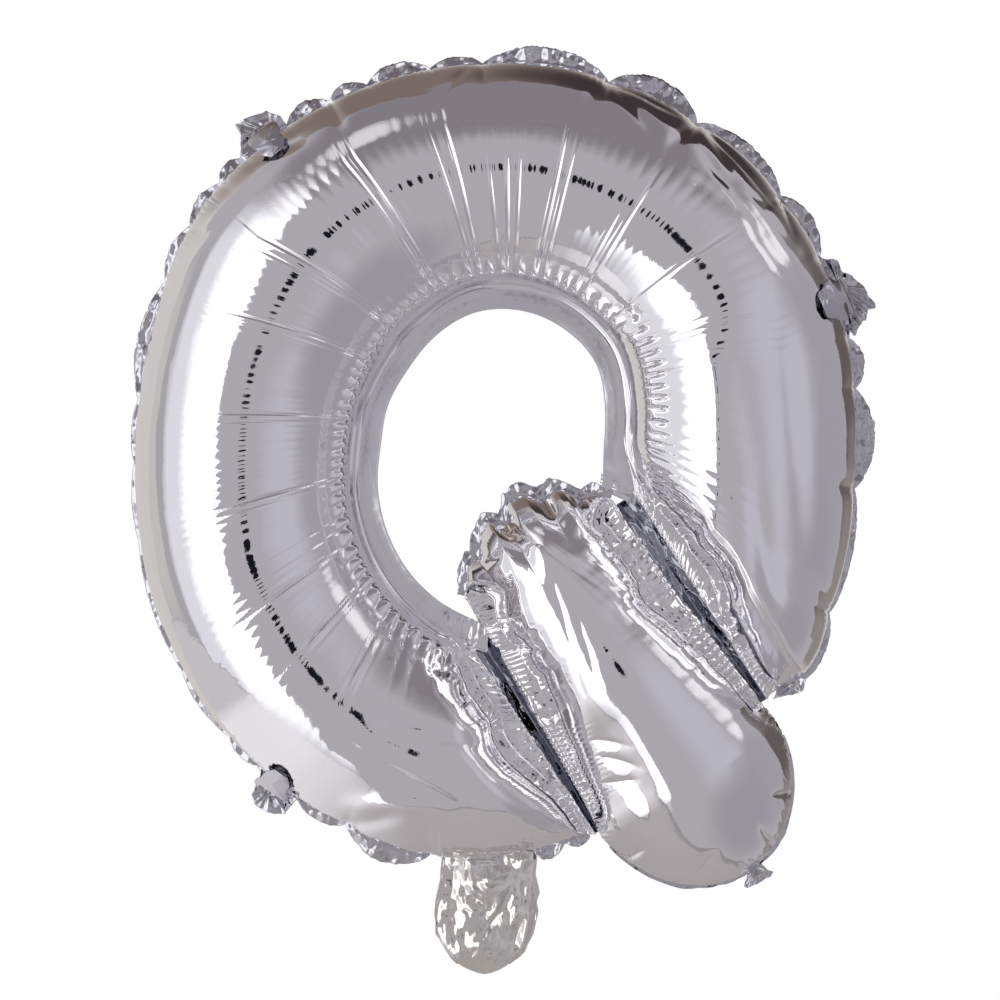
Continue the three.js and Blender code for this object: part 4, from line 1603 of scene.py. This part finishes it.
class Sky:
    """Light from all round the balloon, painted field over field by direction.

    The backdrop begins past a tilted bound. The line where the ceiling begins is given by the sine of
    its height and its half width, and the camera's own dark spot by its radii in degrees.
    """

    strength = 1.06
    backdrop_tilt = 0.22
    backdrop_bound = (0.40, 0.43)
    least_ahead = 0.05
    line_height = 0.73
    line_half = 0.012
    camera_spot = (3.4, 4.2)

    def __init__(self) -> None:
        """Makes the world and the direction that its fields are painted by."""
        world = bpy.data.worlds.new("studio")
        bpy.context.scene.world = world
        self.bench = Bench(world)
        self.way = self.bench.node("ShaderNodeTexCoord").outputs["Generated"]
        parts = self.bench.node("ShaderNodeSeparateXYZ", None, {"Vector": self.way})
        self.up = Value(self.bench, parts.outputs["Z"])

    def facing(self, direction: Triple) -> Value:
        """Cosine of the angle to a direction."""
        sockets = {0: self.way, 1: tuple(Vector(direction).normalized())}
        return self.bench.value("ShaderNodeVectorMath", "Value", {"operation": "DOT_PRODUCT"}, sockets)

    def spot(self, direction: Triple, inner: float, outer: float) -> Value:
        """Mask that is 1 within the inner radius in degrees and 0 past the outer one."""
        return self.facing(direction).ramp(*(math.cos(math.radians(radius)) for radius in (outer, inner)))

    def fields(self, tone: str, patches: tuple[Patch, ...]) -> bpy.types.NodeSocket | Colour:
        """Paints patches over a plain tone.

        Args:
            tone: The plain tone.
            patches: Patches in the order that they are painted in.

        Returns:
            The colour over all directions.
        """
        light = linear(tone, self.strength)
        for patch in patches:
            mask = self.spot(patch.direction, patch.inner, patch.outer)
            light = self.bench.mix(light, linear(patch.tone, self.strength), mask)
        return light

    def box_mask(self, box: SoftBox) -> Value:
        """Masks a flat light, soft at each of its edges.

        Args:
            box: The flat light.

        Returns:
            Mask that is 1 within it.
        """
        centre = Vector(box.direction).normalized()
        aside = centre.cross(Vector((0, 0, 1))).normalized()
        ahead = self.facing(tuple(centre))
        near = ahead.largest(self.least_ahead)
        sideways = self.facing(tuple(aside)) / near
        upward = self.facing(tuple(aside.cross(centre))) / near
        mask = ahead.above(self.least_ahead)
        for value, low, high in ((sideways, box.right, box.left), (upward, box.foot, box.head)):
            for (bound, soft), sign in ((low, -1), (high, 1)):
                mask = mask * value.ramp(sign * (bound + soft), sign * (bound - soft))
        return mask

    def paint(self) -> None:
        """Paints the walls, the soft boxes, the line below the ceiling and the camera's own spot."""
        mix = self.bench.mix
        front = self.fields("ABA8AD", FRONT_PATCHES)
        behind = self.fields("C9C6C3", BACK_PATCHES)
        past = self.facing((0, 1, 0)) + self.up * self.backdrop_tilt
        light = mix(front, behind, past.ramp(*self.backdrop_bound))
        for box in SOFT_BOXES:
            light = mix(light, linear(box.tone, box.strength), self.box_mask(box))
        line = abs(self.up - self.line_height).ramp(self.line_half, self.line_half * 0.3)
        light = mix(light, linear("7E7A7E"), line * self.facing((0, -1, 0)).ramp(0.1, 0.4) * 0.7)
        light = mix(light, linear("14161C"), self.spot((0, -1, 0), *self.camera_spot))
        seen_by_camera = self.bench.value("ShaderNodeLightPath", "Is Camera Ray")
        light = mix(light, (1.0, 1.0, 1.0, 1.0), seen_by_camera)
        background = self.bench.node("ShaderNodeBackground", None, {"Color": light, "Strength": 1.0})
        self.bench.node("ShaderNodeOutputWorld", None, {"Surface": background.outputs[0]})


@dataclass(frozen=True)
class Studio:
    """Camera, pale floor and light; its lengths are metres.

    The picture is as wide as the drawing grid, and its left and right halves meet at the hole's middle.
    """

    distance: float = 1.5
    sensor_width: float = 36
    picture_width: float = 2 * GRID_MIDDLE[0] * GRID_STEP * MM
    aim_height: float = -0.0229
    floor_place: Triple = (-0.22, 0.28, -0.30)
    floor_radius: float = 0.47
    floor_back: float = 0.10

    def camera(self) -> None:
        """Sets the camera level with the letter and square to it."""
        data = bpy.data.cameras.new("camera")
        data.sensor_width = self.sensor_width
        data.lens = self.sensor_width * self.distance / self.picture_width
        camera = bpy.data.objects.new("camera", data)
        camera.location = (0, -self.distance, self.aim_height)
        camera.rotation_euler = (math.pi / 2, 0, 0)
        bpy.context.scene.collection.objects.link(camera)
        bpy.context.scene.camera = camera

    def floor(self) -> None:
        """Lays a pale floor below the balloon, which glows with painted light."""
        work = bmesh.new()
        bmesh.ops.create_circle(work, cap_ends=True, segments=96, radius=self.floor_radius)
        for corner in work.verts:
            corner.co.y = min(corner.co.y, self.floor_back)
        mesh = bpy.data.meshes.new("floor")
        work.to_mesh(mesh)
        work.free()
        mesh.materials.append(self.floor_material())
        floor = bpy.data.objects.new("floor", mesh)
        floor.location = self.floor_place
        bpy.context.scene.collection.objects.link(floor)

    def floor_material(self) -> bpy.types.Material:
        """Makes the floor's material: pale, glowing with painted light that is brighter towards the left, and
        with a dark rim of painted shade where that painted light is weak.

        Returns:
            Its material.
        """
        material = bpy.data.materials.new("pale_floor")
        bench = Bench(material)
        place = bench.node("ShaderNodeTexCoord").outputs["Object"]
        cloud = bench.noise(place, 9.0, 2.0, 0.5)
        across = bench.value("ShaderNodeSeparateXYZ", "X", None, {"Vector": place})
        # Painted light: the floor is made to glow brighter towards the left, as if lit from that side
        painted_lit_side = across.ramp(0.17, -0.02) * (1 - across.ramp(-0.10, -0.17) * 0.6)
        from_middle = bench.value("ShaderNodeVectorMath", "Value", {"operation": "LENGTH"}, {0: place})
        # Painted shade: a dark rim, left out where the painted light falls
        rim = from_middle.ramp(self.floor_radius - 0.014, self.floor_radius - 0.008)
        # Painted light and shade: dim grey away from the left, near white on the painted lit side
        plain = bench.mix(linear("7C7978"), linear("F2F2F6"), painted_lit_side)
        # The emission is painted light and painted shade, not a lamp
        shader = bench.node("ShaderNodeBsdfPrincipled", None, {
            "Base Color": linear("E6E4E2"), "Roughness": cloud * 0.1 + 0.75,
            "Emission Color": bench.mix(plain, linear("2A282A"), rim * (1 - painted_lit_side)), "Emission Strength": 0.62,
        })
        bench.node("ShaderNodeOutputMaterial", None, {"Surface": shader.outputs[0]})
        return material

    def build(self) -> None:
        """Sets up the camera, the floor and the light."""
        self.camera()
        self.floor()
        Sky().paint()
        bpy.context.scene.view_settings.view_transform = "Standard"


def dress(node: str, finish: FilmFinish) -> None:
    """Gives a solid of the frame its finish."""
    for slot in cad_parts[node].material_slots:
        slot.material = finish.material()


def main() -> None:
    """Builds the studio and the balloon in order, and reports each piece."""
    logging.basicConfig(level=logging.INFO, format="%(message)s")
    Studio().build()
    for maker in (LetterSkins(), RimMargin(), HoleMargin(), SlitWebs(), TailMargins(), Neck(), *TABS):
        for piece in maker.pieces():
            log.info("%s: %d faces", piece.name, len(piece.build().data.polygons))
    dress("valve_sleeve", SLEEVE_FILM)


if __name__ == "__main__":
    main()
